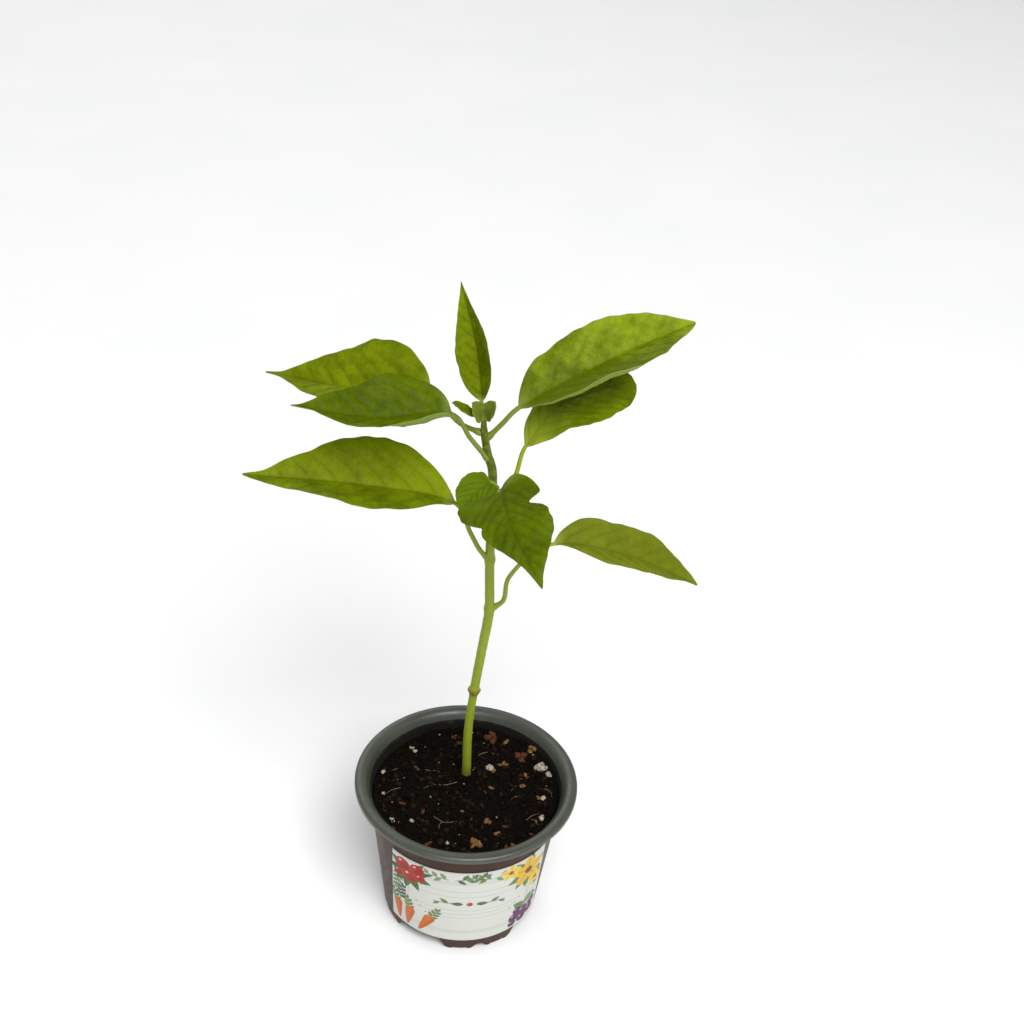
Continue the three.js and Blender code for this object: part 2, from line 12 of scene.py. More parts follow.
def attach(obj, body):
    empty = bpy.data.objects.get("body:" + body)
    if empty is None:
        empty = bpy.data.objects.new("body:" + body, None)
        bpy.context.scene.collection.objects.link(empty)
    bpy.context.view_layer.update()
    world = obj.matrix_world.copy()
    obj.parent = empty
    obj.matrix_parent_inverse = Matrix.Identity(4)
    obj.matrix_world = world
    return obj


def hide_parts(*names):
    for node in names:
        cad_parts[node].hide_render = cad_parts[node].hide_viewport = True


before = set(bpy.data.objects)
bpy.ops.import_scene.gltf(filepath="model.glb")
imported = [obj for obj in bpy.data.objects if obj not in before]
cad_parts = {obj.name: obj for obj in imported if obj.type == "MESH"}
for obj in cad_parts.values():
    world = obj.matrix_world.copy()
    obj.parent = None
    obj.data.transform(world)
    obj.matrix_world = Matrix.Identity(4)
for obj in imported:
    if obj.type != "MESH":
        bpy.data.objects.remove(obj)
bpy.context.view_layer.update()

MM = 0.001

# ---- Camera: the photograph's place and angle ----

CAMERA_PLACE = (0.0, -0.5088, 0.5568)
CAMERA_YAW = radians(1.34)
CAMERA_PITCH = radians(32.94)
CAMERA_ROLL = radians(4.32)
FOCAL_PIXELS = 1460.0
IMAGE_WIDTH = 1024


def add_camera():
    forward = Vector((
        sin(CAMERA_YAW) * cos(CAMERA_PITCH),
        cos(CAMERA_YAW) * cos(CAMERA_PITCH),
        -sin(CAMERA_PITCH),
    ))
    right = Vector((cos(CAMERA_YAW), -sin(CAMERA_YAW), 0.0))
    up = right.cross(forward)
    turned_right = right * cos(CAMERA_ROLL) + up * sin(CAMERA_ROLL)
    turned_up = up * cos(CAMERA_ROLL) - right * sin(CAMERA_ROLL)
    turn = Matrix((turned_right, turned_up, -forward)).transposed()
    data = bpy.data.cameras.new("camera")
    data.sensor_width = 36.0
    data.lens = FOCAL_PIXELS / IMAGE_WIDTH * data.sensor_width
    data.clip_start = 0.01
    camera = bpy.data.objects.new("camera", data)
    camera.matrix_world = Matrix.Translation(CAMERA_PLACE) @ turn.to_4x4()
    bpy.context.scene.collection.objects.link(camera)
    bpy.context.scene.camera = camera


add_camera()

# ---- Colours and materials ----


def linear(red, green, blue):
    """Screen values from 0 to 255 as linear light."""
    def one(value):
        value /= 255
        return value / 12.92 if value <= 0.04045 else ((value + 0.055) / 1.055) ** 2.4
    return (one(red), one(green), one(blue), 1.0)


class Shader:
    """A procedural material under construction."""

    def __init__(self, name):
        self.material = bpy.data.materials.new(name)
        self.material.use_nodes = True
        self.tree = self.material.node_tree
        self.surface = self.tree.nodes["Principled BSDF"]

    def put(self, socket, value):
        if isinstance(value, bpy.types.NodeSocket):
            self.tree.links.new(value, socket)
        else:
            socket.default_value = value

    def node(self, kind, output, inputs=(), **values):
        """An output of a new node, whose inputs are numbers, colours or sockets."""
        made = self.tree.nodes.new(kind)
        for name, value in values.items():
            setattr(made, name, value)
        for name, value in dict(inputs).items():
            self.put(made.inputs[name], value)
        return made.outputs[output]

    def place(self):
        return self.node("ShaderNodeTexCoord", "Object")

    def split(self, axis):
        return self.node("ShaderNodeSeparateXYZ", axis, {"Vector": self.place()})

    def attribute(self, name, output="Fac"):
        return self.node("ShaderNodeAttribute", output, attribute_name=name)

    def noise(self, size, detail=4.0, rough=0.55, where=None):
        """Noise with patches about `size` millimetres across, from 0 to 1."""
        return self.node("ShaderNodeTexNoise", "Fac", {
            "Vector": where or self.place(), "Scale": 1 / (size * MM), "Detail": detail,
            "Roughness": rough})

    def cell_edges(self, size):
        """Distance to the nearest edge between cells about `size` millimetres across."""
        return self.node("ShaderNodeTexVoronoi", "Distance", {
            "Vector": self.place(), "Scale": 1 / (size * MM)}, feature="DISTANCE_TO_EDGE")

    def ramp(self, value, low, high, at_low=0.0, at_high=1.0):
        return self.node("ShaderNodeMapRange", "Result", {
            "Value": value, "From Min": low, "From Max": high, "To Min": at_low,
            "To Max": at_high})

    def math(self, operation, first, second=0.0):
        return self.node("ShaderNodeMath", "Value", {0: first, 1: second}, operation=operation)

    def mix(self, share, first, second):
        """A mix of two colours, each a socket or screen values from 0 to 255."""
        first, second = (linear(*color) if isinstance(color, tuple) else color
                         for color in (first, second))
        return self.node("ShaderNodeMix", "Result", {"Factor": share, "A": first, "B": second},
                         data_type="RGBA")

    def bump(self, height, depth, strength):
        """Relief of `depth` millimetres for a height from 0 to 1."""
        self.put(self.surface.inputs["Normal"], self.node("ShaderNodeBump", "Normal", {
            "Height": height, "Distance": depth * MM, "Strength": strength}))

    def finish(self, color, roughness, **more):
        self.put(self.surface.inputs["Base Color"], color)
        self.put(self.surface.inputs["Roughness"], roughness)
        for name, value in more.items():
            self.put(self.surface.inputs[name.replace("_", " ")], value)
        return self.material


NET_SHARE = 0.1
VEIN_SHARE = 0.45


def leaf_material(name, dark, light, vein, stalk, roughness, glow):
    """A blade with a fine net and veins of the colour `vein`, and a stalk. Its mottling is partly
    painted light and shade, and on the upper face the darker vein colour is painted shade in the
    sunken veins and net.
    """
    shader = Shader(name)
    # The mottling is partly the leaf's own uneven green and partly painted highlight and shade on
    # its puckers; the finer noise is painted pucker highlight and shade only.
    patches = shader.ramp(shader.noise(11, 6.0, 0.68), 0.32, 0.68)
    painted_pucker_shading = shader.ramp(shader.noise(2.4, 3.0, 0.6), 0.35, 0.65, -0.09, 0.09)
    # The point value added here is painted light and shade: each half of a leaf lighter or darker
    # at its base and tip, as light falls on it.
    patches = shader.math("ADD", shader.math("ADD", patches, painted_pucker_shading),
                          shader.attribute("tone_and_painted_light"))
    blade = shader.mix(shader.ramp(patches, 0.0, 1.0), dark, light)
    # Painted shade: on the upper faces the net and veins take the darker vein colour, for the
    # shade in these grooves; on the lower faces the paler vein colour is the veins' own.
    net = shader.ramp(shader.cell_edges(2.6), 0.0, 0.16, 1.0, 0.0)
    blade = shader.mix(shader.math("MULTIPLY", net, NET_SHARE), blade, vein)
    veins = shader.math("MULTIPLY", shader.attribute("vein"), VEIN_SHARE)
    blade = shader.mix(veins, blade, vein)
    color = shader.mix(shader.attribute("stalk"), blade, stalk)
    fine = shader.noise(0.5, 2.0)
    relief = shader.math("ADD", shader.math("MULTIPLY", net, -0.6),
                         shader.math("MULTIPLY", fine, 0.5))
    shader.bump(relief, 0.12, 0.7)
    rough = shader.ramp(shader.noise(5, 2.0), 0.3, 0.7, roughness - 0.06, roughness + 0.06)
    return shader.finish(color, rough, Subsurface_Weight=glow, Subsurface_Scale=0.002,
                         Subsurface_Radius=(0.8, 1.0, 0.1), Specular_IOR_Level=0.05)


# Heights on the stem in metres, from and to which its skin changes.
STEM_DARKENS = (0.198, 0.226)
STEM_BROWN_FOOT = (0.0675, 0.0745)
SCAR_RING = 0.1205


def stem_material():
    """Green skin, darker high up, brown at the foot and in a ring at the seed leaves' scars."""
    shader = Shader("stem_skin")
    level = shader.split("Z")
    color = shader.mix(shader.ramp(level, *STEM_DARKENS), (134, 148, 38), (76, 88, 0))
    pale = shader.ramp(shader.noise(3, 3.0), 0.4, 0.8, 0.0, 0.35)
    color = shader.mix(pale, color, (154, 167, 74))
    away = shader.math("ABSOLUTE", shader.math("SUBTRACT", level, SCAR_RING))
    ring = shader.ramp(away, 0.0008, 0.0026, 0.85, 0.0)
    ring = shader.math("MULTIPLY", ring, shader.ramp(shader.noise(1.2), 0.3, 0.6))
    color = shader.mix(ring, color, (108, 75, 40))
    color = shader.mix(shader.ramp(level, *STEM_BROWN_FOOT, 0.85, 0.0), color, (92, 80, 38))
    stretched = shader.node("ShaderNodeMapping", "Vector", {
        "Vector": shader.place(), "Scale": (1.0, 1.0, 0.08)})
    grain = shader.noise(0.5, 3.0, 0.6, stretched)
    shader.bump(grain, 0.15, 0.6)
    return shader.finish(color, shader.ramp(grain, 0.3, 0.7, 0.3, 0.44),
                         Specular_IOR_Level=0.15)


SOIL_LINE_SLOPE = -0.035


def pot_material(name, color, worn, dusty, shine, soil_line=None):
    """Moulded plastic. Below `soil_line` and just over it, soil clings to the plastic."""
    shader = Shader(name)
    cloud = shader.ramp(shader.noise(22, 4.0), 0.35, 0.7)
    base = shader.mix(cloud, color, worn)
    scuffs = shader.ramp(shader.noise(1.4, 5.0, 0.7), 0.6, 0.72, 0.0, dusty)
    base = shader.mix(scuffs, base, (112, 104, 90))
    specks = shader.ramp(shader.noise(0.7, 1.0), 0.68, 0.72, 0.0, 0.8 * dusty)
    base = shader.mix(specks, base, (24, 19, 15))
    rough = shader.ramp(shader.noise(4, 4.0), 0.3, 0.7, 0.34, 0.48)
    if soil_line:
        ragged = shader.ramp(shader.noise(7, 6.0, 0.75), 0.3, 0.7, -0.003, 0.003)
        slope = shader.math("MULTIPLY", shader.split("X"), SOIL_LINE_SLOPE)
        level = shader.math("ADD", shader.math("ADD", shader.split("Z"), slope), ragged)
        dirt = shader.ramp(level, (soil_line - 1.2) * MM, (soil_line + 0.8) * MM, 1.0, 0.0)
        base = shader.mix(dirt, base, (20, 16, 13))
        rough = shader.math("MAXIMUM", rough, dirt)
    shader.bump(shader.noise(0.35, 2.0), 0.05, 0.5)
    return shader.finish(base, rough, Specular_IOR_Level=shine)


def grain_material(name, dark, light, size, roughness):
    """A rough matt look with patches of `size` millimetres, for soil and what lies on it."""
    shader = Shader(name)
    color = shader.mix(shader.ramp(shader.noise(size, 5.0, 0.65), 0.35, 0.65), dark, light)
    shader.bump(shader.noise(size * 0.4, 4.0, 0.7), 0.35, 0.9)
    return shader.finish(color, roughness, Specular_IOR_Level=0.04)


def label_material():
    shader = Shader("label_print")
    fibres = shader.noise(0.3, 3.0)
    tone_and_painted_light = shader.ramp(shader.noise(9, 3.0), 0.3, 0.7, 0.0, 0.08)
    color = shader.mix(tone_and_painted_light, shader.attribute("print", "Color"), (196, 200, 186))
    shader.bump(fibres, 0.03, 0.4)
    return shader.finish(color, shader.ramp(fibres, 0.3, 0.7, 0.5, 0.62),
                         Specular_IOR_Level=0.2)


def floor_material():
    shader = Shader("floor_paint")
    patches = shader.ramp(shader.noise(160, 2.0), 0.3, 0.7)
    return shader.finish(shader.mix(patches, (252, 252, 252), (248, 249, 249)), 0.7)


# ---- Mesh helpers ----


def add_mesh(name, points, faces, slots=None, looks=(), values=None, smooth=True):
    """An object from points in millimetres, with point attributes in `values`."""
    mesh = bpy.data.meshes.new(name)
    mesh.from_pydata((np.asarray(points, float) * MM).tolist(), [], faces)
    for look in looks:
        mesh.materials.append(look)
    if slots is not None:
        mesh.polygons.foreach_set("material_index", slots)
    for key, numbers in (values or {}).items():
        numbers = np.asarray(numbers, float)
        kind, field = ("FLOAT", "value") if numbers.ndim == 1 else ("FLOAT_COLOR", "color")
        mesh.attributes.new(key, kind, "POINT").data.foreach_set(field, numbers.ravel())
    if smooth:
        mesh.shade_smooth()
    mesh.validate()
    mesh.update()
    made = bpy.data.objects.new(name, mesh)
    bpy.context.scene.collection.objects.link(made)
    return made


def ring_faces(rows, size):
    """Faces between rings of `size` points, each ring closed."""
    return [
        (row * size + side, row * size + (side + 1) % size,
         (row + 1) * size + (side + 1) % size, (row + 1) * size + side)
        for row in range(rows - 1) for side in range(size)
    ]


def circle(sides):
    """The cosine and sine of `sides` angles round a circle."""
    return [(cos(2 * pi * side / sides), sin(2 * pi * side / sides))
            for side in range(sides)]


def tube_faces(rows, size, start=0):
    """Faces of a closed tube of rings of `size` points, the first point being `start`."""
    faces = [*ring_faces(rows, size), tuple(reversed(range(size))),
             tuple(range((rows - 1) * size, rows * size))]
    return [tuple(corner + start for corner in face) for face in faces]


def orient(made, weld=0.0):
    """Turn the faces outward, after joining points nearer than `weld` metres."""
    bm = bmesh.new()
    bm.from_mesh(made.data)
    if weld:
        bmesh.ops.remove_doubles(bm, verts=bm.verts, dist=weld)
    bmesh.ops.recalc_face_normals(bm, faces=bm.faces)
    bm.to_mesh(made.data)
    bm.free()


def unit(vector):
    return vector / np.linalg.norm(vector)


PATH_STEPS = 60


def smooth_path(points, steps=PATH_STEPS):
    """Points on a smooth curve through `points`, with `steps` between each two."""
    stops = [np.array(point, float) for point in points]
    stops = [2 * stops[0] - stops[1]] + stops + [2 * stops[-1] - stops[-2]]
    path = []
    for before, start, end, after in zip(stops, stops[1:], stops[2:], stops[3:]):
        first, second, third = (
            max(np.linalg.norm(b - a) ** 0.5, 1e-4)
            for a, b in ((before, start), (start, end), (end, after)))
        leave = ((start - before) / first - (end - before) / (first + second)
                 + (end - start) / second) * second
        arrive = ((end - start) / second - (after - start) / (second + third)
                  + (after - end) / third) * second
        for step in range(steps):
            t = step / steps
            path.append(start + leave * t + (3 * (end - start) - 2 * leave - arrive) * t * t
                        + (2 * (start - end) + leave + arrive) * t ** 3)
    path.append(stops[-2])
    return np.array(path)


def point_along(path, keys, key):
    """The point of a path at `key`, where `keys` rises along the path."""
    return np.array([np.interp(key, keys, path[:, axis]) for axis in range(3)])


def fade(value, low, high):
    """A soft step from 0 at `low` to 1 at `high`."""
    share = np.clip((np.asarray(value, float) - low) / (high - low), 0, 1)
    return share * share * (3 - 2 * share)


# ---- Stem ----

# Points along the middle of the stem and its tap root, and (height, radius) pairs along it.
STEM_POINTS = [
    (-1, 12.5, 36), (-0.3, 12, 66), (-0.6, 11, 97), (1.1, 10, 122), (4, 9, 152),
    (5.4, 8.5, 167), (4.4, 8, 190), (3.5, 7.5, 217), (2.6, 7, 242), (0.5, 7, 248.7),
    (-1.9, 6.5, 262), (-2.1, 6.3, 268),
]
STEM_RADII = [
    (36, 0.7), (58, 1.9), (66, 2.3), (74, 2.1), (118, 1.9), (121, 2.6), (124, 2.1), (166, 2.2),
    (169, 2.5), (173, 2.1), (193, 2.1), (196, 2.5), (200, 2), (242, 1.9), (257, 1.6), (268, 1),
]
STEM_PATH = smooth_path(STEM_POINTS)
STEM_FOOT = 36
STEM_TOP = 267.2
STEM_SIDES = 28
SCAR_HEIGHT = 121.3
SCAR_BULGE = 0.55
STEM_RIDGES = 0.03  # height of its five ridges, as a share of its radius
STEM_BUMPS = 0.1


def stem_point(height):
    return point_along(STEM_PATH, STEM_PATH[:, 2], height)


def stem_radius(height):
    levels, radii = zip(*STEM_RADII)
    upper = int(np.clip(np.searchsorted(levels, height), 1, len(levels) - 1))
    share = fade(height, levels[upper - 1], levels[upper])
    return radii[upper - 1] + (radii[upper] - radii[upper - 1]) * share


def add_stem():
    heights = np.concatenate([np.arange(STEM_FOOT, 267, 0.9), [STEM_TOP]])
    points = []
    for height in heights:
        middle = stem_point(height)
        along = unit(stem_point(height + 1) - stem_point(height - 1))
        side = unit(np.array([1.0, 0, 0]) - along[0] * along)
        front = np.cross(along, side)
        scar = exp(-((height - SCAR_HEIGHT) / 1.1) ** 2)
        for corner in range(STEM_SIDES):
            angle = 2 * pi * corner / STEM_SIDES
            right, ahead = cos(angle), sin(angle)
            ridges = 1 + STEM_RIDGES * cos(5 * angle + 0.02 * height)
            spot = Vector((middle[0] + 3 * right, 3 * ahead, height * 0.4)) * 0.8
            radius = stem_radius(height) * ridges
            radius += SCAR_BULGE * scar * right ** 6
            radius += STEM_BUMPS * noise.noise(spot)
            points.append(middle + (side * right + front * ahead) * radius)
    stem = add_mesh("stem", points, tube_faces(len(heights), STEM_SIDES),
                    looks=[stem_material()])
    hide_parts("main_stem")
    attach(stem, "root")


# ---- Leaves ----

# Lengths in millimetres. What a leaf has unless its own entry says otherwise. A pair is for its
# left and right half, looking from the stem to the tip with the upper face up.
COMMON_LEAF = dict(
    stalk=1.1,  # radius of the stalk where it leaves the stem
    shoulder=0.75,  # how slowly the blade widens from its base
    taper=1.3,  # how early it narrows to its tip
    outlines=None,  # (share of the length, share of the width) knots, where those don't do
    rise=(0.3, 0.3),  # slope of each half up from the midrib
    flare=(0, 0),  # extra slope of each half at the base
    curl=(0, 0),  # how far each margin turns up
    curl_end=0.75,  # share of the length where the margins lie flat again
    wave=1.0, waves=2.5, phase=0.0, lag=0.3,  # the margins' waves
    tint="leaf",
    tone_and_painted_light=((0, 0), (0, 0)),  # painted light and shade: how much lighter each half is at its base and at its tip, as light falls on it
    quilt=0.6,  # height of the blisters between the veins
    pale=0.09,  # share of the length where the stalk's colour ends
    veins=7,
)

# Each leaf: the height where its stalk leaves the stem, the bends of the stalk, the base, middle
# and tip of the blade along the midrib, the widest half widths, and the direction in which the
# upper face looks.
LEAVES = {
    "leaf_left_low": dict(
        root=196, bends=[(0, 6, 201.5), (-5, 3, 213)], base=(-11.5, 1, 228),
        middle=(-49.5, -8, 240), tip=(-97.5, -14, 245.5), half=(15.5, 18.5),
        face=(0, -0.4, 0.9), rise=(0.6, 0.5), waves=2,
        # Painted light and shade: the left half a little darker, the right half lighter.
        tone_and_painted_light=((-0.1, -0.1), (0.5, 0.3)),
        outlines=(
            ((0, 0), (0.1, 0.38), (0.2, 0.68), (0.3, 0.88), (0.4, 0.98), (0.5, 1.03),
             (0.6, 0.87), (0.7, 0.63), (0.8, 0.44), (0.9, 0.22), (1, 0)),
            ((0, 0), (0.05, 0.22), (0.1, 0.46), (0.2, 0.83), (0.3, 1.01), (0.4, 1),
             (0.5, 0.96), (0.6, 0.83), (0.7, 0.64), (0.8, 0.42), (0.9, 0.12), (1, 0)),
        ),
    ),
    "leaf_right_low": dict(
        root=169, bends=[(11, 7.5, 174.5), (13, 5, 189.5)], base=(30, 0, 211.5),
        middle=(61, 1, 208), tip=(95.5, 9, 188.5), half=(13.5, 10),
        face=(0, -0.35, 0.9), rise=(0.35, 0.55), wave=0.8, waves=2,
        tint="pale_leaf",
        outlines=(
            ((0, 0), (0.1, 0.6), (0.2, 0.85), (0.35, 0.92), (0.5, 0.9), (0.65, 0.82),
             (0.8, 0.62), (0.9, 0.4), (1, 0)),
            ((0, 0), (0.1, 0.25), (0.2, 0.55), (0.3, 0.92), (0.4, 1), (0.5, 1), (0.6, 0.76),
             (0.7, 0.55), (0.8, 0.33), (0.9, 0.12), (1, 0)),
        ),
    ),
    "leaf_front": dict(
        root=210, bends=[(7, -1, 230)], base=(6.5, -8, 241.5),
        middle=(11.5, -34, 241), tip=(24.5, -55, 227.5), half=(19, 19),
        face=(-0.35, -0.45, 1), rise=(-0.05, 0.05), flare=(0.8, 0),
        # A darker look: partly the leaf's own deeper green and partly painted shade, as it lies
        # under the leaves above.
        wave=0.8, waves=2.9, phase=-0.03, lag=0, tint="deep_green_and_painted_shade_leaf",
        outlines=(
            ((0, 0), (0.03, 0.34), (0.06, 0.54), (0.1, 0.69), (0.16, 0.78), (0.21, 0.77),
             (0.245, 0.6), (0.28, 0.52), (0.32, 0.63), (0.38, 0.78), (0.48, 0.86), (0.6, 0.81),
             (0.7, 0.65), (0.8, 0.41), (0.9, 0.17), (1, 0)),
            ((0, 0), (0.03, 0.5), (0.08, 0.8), (0.16, 1), (0.23, 1), (0.3, 0.9), (0.36, 0.76),
             (0.405, 0.6), (0.44, 0.63), (0.48, 0.62), (0.55, 0.53), (0.67, 0.32),
             (0.74, 0.22), (0.82, 0.13), (0.91, 0.06), (1, 0)),
        ),
    ),
    "leaf_front_small": dict(
        root=231, bends=[(3.2, 4, 234)], base=(3.4, 1.5, 239),
        middle=(-2.3, -2.5, 237.7), tip=(-9, -10.5, 233), half=(8, 8.5),
        face=(-0.2, -0.35, 1), shoulder=0.35, taper=0.6, stalk=0.9, wave=0.4,
        tint="fresh_leaf", quilt=0.25, veins=4,
    ),
    "leaf_left_back": dict(
        root=259, bends=[(-11.5, 12, 260)], base=(-25, 20, 267.5),
        middle=(-60, 35, 261), tip=(-98, 51, 257.5), half=(16, 21.5),
        face=(0.1, -0.4, 0.9), rise=(0.45, 0.4),
        outlines=(
            ((0, 0), (0.05, 0.45), (0.1, 0.67), (0.2, 0.92), (0.3, 1), (0.4, 0.97),
             (0.5, 0.86), (0.6, 0.7), (0.7, 0.51), (0.8, 0.3), (0.9, 0.12), (1, 0)),
            ((0, 0), (0.03, 0.24), (0.06, 0.42), (0.1, 0.6), (0.2, 0.9), (0.3, 1),
             (0.4, 0.98), (0.5, 0.9), (0.6, 0.76), (0.7, 0.52), (0.8, 0.26), (0.9, 0.1),
             (1, 0)),
        ),
    ),
    "leaf_left_front": dict(
        root=246, bends=[(-7, 4, 258)], base=(-15, 0, 271), middle=(-45, -12, 274),
        tip=(-76, -22, 283), half=(12, 16), face=(0.1, -0.3, 0.9),
        rise=(0.6, 0.5), curl=(6.5, 0), curl_end=0.5, shoulder=0.65,
        # A darker look: partly its own deeper green and partly painted shade.
        tint="deep_green_and_painted_shade_leaf",
    ),
    "leaf_top": dict(
        root=262.5, bends=[(-2.5, 9.5, 267)], base=(-3.3, 9.9, 271.8),
        middle=(-6.5, 13, 293), tip=(-14.5, 20, 319.5), half=(8, 6),
        face=(-0.3, -1, 0.2), rise=(0.5, 0.6), shoulder=0.8, stalk=0.8,
        # Painted light and shade: the right half darker, the left a little lighter at its base.
        wave=0.5, quilt=0.2, tone_and_painted_light=((0.1, 0), (-0.5, -0.3)),
    ),
    # Its look is a lighter green whose light patches are partly painted highlight.
    "leaf_right_high": dict(
        root=256, bends=[(5.5, 8, 263.5)], base=(11.5, 11, 269.5),
        middle=(46.5, 28, 285), tip=(83.5, 44, 297.5), half=(17.5, 21.5),
        face=(-0.3, -0.45, 0.9), rise=(0.5, 0.55), curl=(0, 7),
        # Painted light and shade: both halves darker at the base, the right half most; the left
        # half lighter toward the tip.
        tint="bright_green_and_painted_highlight_leaf", tone_and_painted_light=((-0.6, 0.55), (-1.0, 0.0)),
        outlines=(
            ((0, 0), (0.1, 0.48), (0.2, 0.74), (0.3, 0.86), (0.4, 0.9), (0.5, 0.88),
             (0.6, 0.87), (0.7, 0.82), (0.8, 0.6), (0.9, 0.3), (1, 0)),
            ((0, 0), (0.1, 0.48), (0.2, 0.76), (0.3, 0.92), (0.4, 0.99), (0.5, 0.98),
             (0.6, 0.9), (0.7, 0.75), (0.8, 0.54), (0.9, 0.28), (1, 0)),
        ),
    ),
    "leaf_right_under": dict(
        root=225, bends=[(12, 9, 237.5)], base=(15.5, 12, 250.5),
        middle=(28.5, 17, 268.5), tip=(59, 27, 277.5), half=(15, 16.5),
        face=(-0.3, -0.5, 0.8), rise=(-0.15, 0.2), shoulder=0.9, taper=0.55,
        # The stalk's pale colour is carried over half the blade: painted light on its base.
        wave=0.7, pale=0.5, tint="painted_lit_base_leaf",
    ),
}
BUD_ROOT = (-2.1, 6.3, 266.2)
COMMON_BUD_LEAF = dict(stalk=0.8, shoulder=0.5, taper=0.6, wave=0.2, quilt=0.08,
                       tint="bud_leaf")
BUD_LEAVES = [
    dict(bends=[(-3.6, 6, 267)], base=(-5, 5.5, 268), middle=(-9, 2, 272),
         tip=(-14.5, -4, 278.5), half=(2.5, 2.5), face=(0.3, -0.6, 1), tint="leaf"),
    dict(bends=[(-2.4, 5.6, 266.3)], base=(-2.7, 5.2, 266.6), middle=(-4, 4, 270.5),
         tip=(-6.8, 3.2, 275), half=(4.4, 3.6), face=(0.8, -0.6, 0.3)),
    dict(bends=[(-1.8, 6, 266.3)], base=(-1.4, 5.8, 266.6), middle=(-0.2, 5.2, 270.5),
         tip=(1.9, 5, 275), half=(3.6, 4.4), face=(-0.8, -0.6, 0.3)),
]
# Pieces along the stalk, along the blade and across it.
LEAF_PIECES = (40, 110, 44)
BUD_PIECES = (8, 26, 12)
BUD_SEED = 20
BLADE_THICKNESS = 0.35
STALK_TIP_RADIUS = 0.45
FOLD_SOFTNESS = 2.0
VEIN_SPREAD = 0.84  # share of the length over which the side veins leave the midrib
LAST_SHARE = 0.993  # the blade ends just short of its tip
CURL_FROM = 0.68  # share of the half width beyond which a margin curls
FLARE_REACH = 0.075
VEIN_SLANT = 0.85
VEIN_BEND = 0.75
MIDRIB_WIDTH = 0.55
# How deep the veins lie, and how high the skin's puckers and ripples are.
VEIN_DEPTH = 0.28
MIDRIB_DEPTH = 0.3
PUCKER = 0.35
RIPPLE = 0.5


def smooth_through(knots, share):
    """The value at `share` on a smooth curve through (share, value) knots."""
    upper = next(index for index, (at, _) in enumerate(knots) if at >= share and index > 0)
    (start, low), (end, high) = knots[upper - 1], knots[upper]

    def slope(index):
        if index in (0, len(knots) - 1):
            return 0.0
        before, after = knots[index - 1], knots[index + 1]
        return (after[1] - before[1]) / (after[0] - before[0])

    span = end - start
    t = (share - start) / span
    leave = 1.5 * (high - low) / span if upper == 1 else slope(upper - 1)
    arrive = 1.5 * (high - low) / span if upper == len(knots) - 1 else slope(upper)
    value = ((2 * t ** 3 - 3 * t ** 2 + 1) * low + (t ** 3 - 2 * t ** 2 + t) * span * leave
             + (3 * t ** 2 - 2 * t ** 3) * high + (t ** 3 - t ** 2) * span * arrive)
    return max(0.0, value)


def blade_profile(leaf, share, half):
    """Half width at a share of the blade's length, as a share of the widest."""
    if share <= 0 or share >= 1:
        return 0.0
    if leaf["outlines"]:
        return smooth_through(leaf["outlines"][half], share)
    shoulder, taper = leaf["shoulder"], leaf["taper"]
    widest = shoulder / (shoulder + taper)
    return (share / widest) ** shoulder * ((1 - share) / (1 - widest)) ** taper


def blade_lift(leaf, share, across, half_width):
    """Height over the midrib, at `across` from -1 on the left margin to 1 on the right."""
    half = 1 if across > 0 else 0
    x = across * half_width
    lift = leaf["rise"][half] * (hypot(x, FOLD_SOFTNESS) - FOLD_SOFTNESS)
    lift += leaf["flare"][half] * abs(x) * exp(-(share / FLARE_REACH) ** 2)
    edge = max(0.0, (abs(across) - CURL_FROM) / (1 - CURL_FROM))
    curl_end = leaf["curl_end"]
    curled = sin(pi * share / curl_end) if share < curl_end else 0.0
    ends = min(1.0, share / 0.1, (1 - share) / 0.12)
    turn = leaf["waves"] * share + leaf["phase"] + half * leaf["lag"]
    lift += leaf["curl"][half] * edge ** 2 * curled
    return lift + leaf["wave"] * abs(across) ** 1.5 * sin(2 * pi * turn) * ends


def margin_frill(share, half, seed):
    """The slight bays and bulges along a margin, as a factor on the blade's width."""
    turn = 2 * pi
    return (1 + 0.012 * sin(turn * (4.7 * share + 0.37 * half + 0.21 * seed))
            + 0.01 * sin(turn * (9.7 * share ** 1.3 + 0.61 * half + 0.43 * seed)))


def vein_levels(leaf, half):
    """Shares of the blade where the side veins of a half leave the midrib."""
    start = 0.06 + 0.035 * half
    gap = VEIN_SPREAD / leaf["veins"]
    return np.array([start + gap * step + 0.006 * sin(7.1 * step + half)
                     for step in range(leaf["veins"])])


def vein_relief(leaf, share, across, half_width, widest, length):
    """How strongly a point lies on a vein, and how far the blade bulges there between veins."""
    half = 1 if across > 0 else 0
    x = abs(across) * half_width
    reach = x / max(widest, 1e-6)
    rise = widest / length
    level = share - (VEIN_SLANT * reach + VEIN_BEND * reach ** 2) * rise
    levels = vein_levels(leaf, half)
    away = np.abs(level - levels) * length * 0.72
    width = 0.5 * (1 - 0.45 * abs(across)) + 0.12
    side_vein = float(np.exp(-(away.min() / width) ** 2)) * (1 - 0.75 * abs(across) ** 2)
    midrib = exp(-(x / MIDRIB_WIDTH) ** 2)
    position = (level - levels[0]) * leaf["veins"] / VEIN_SPREAD
    bulge = sin(pi * (position % 1.0)) ** 0.8 if position > -1 else 0.0
    inner = min(1.0, x / 3.5)
    outer = min(1.0, (1 - abs(across)) / 0.28)
    return side_vein, midrib, bulge * inner * outer


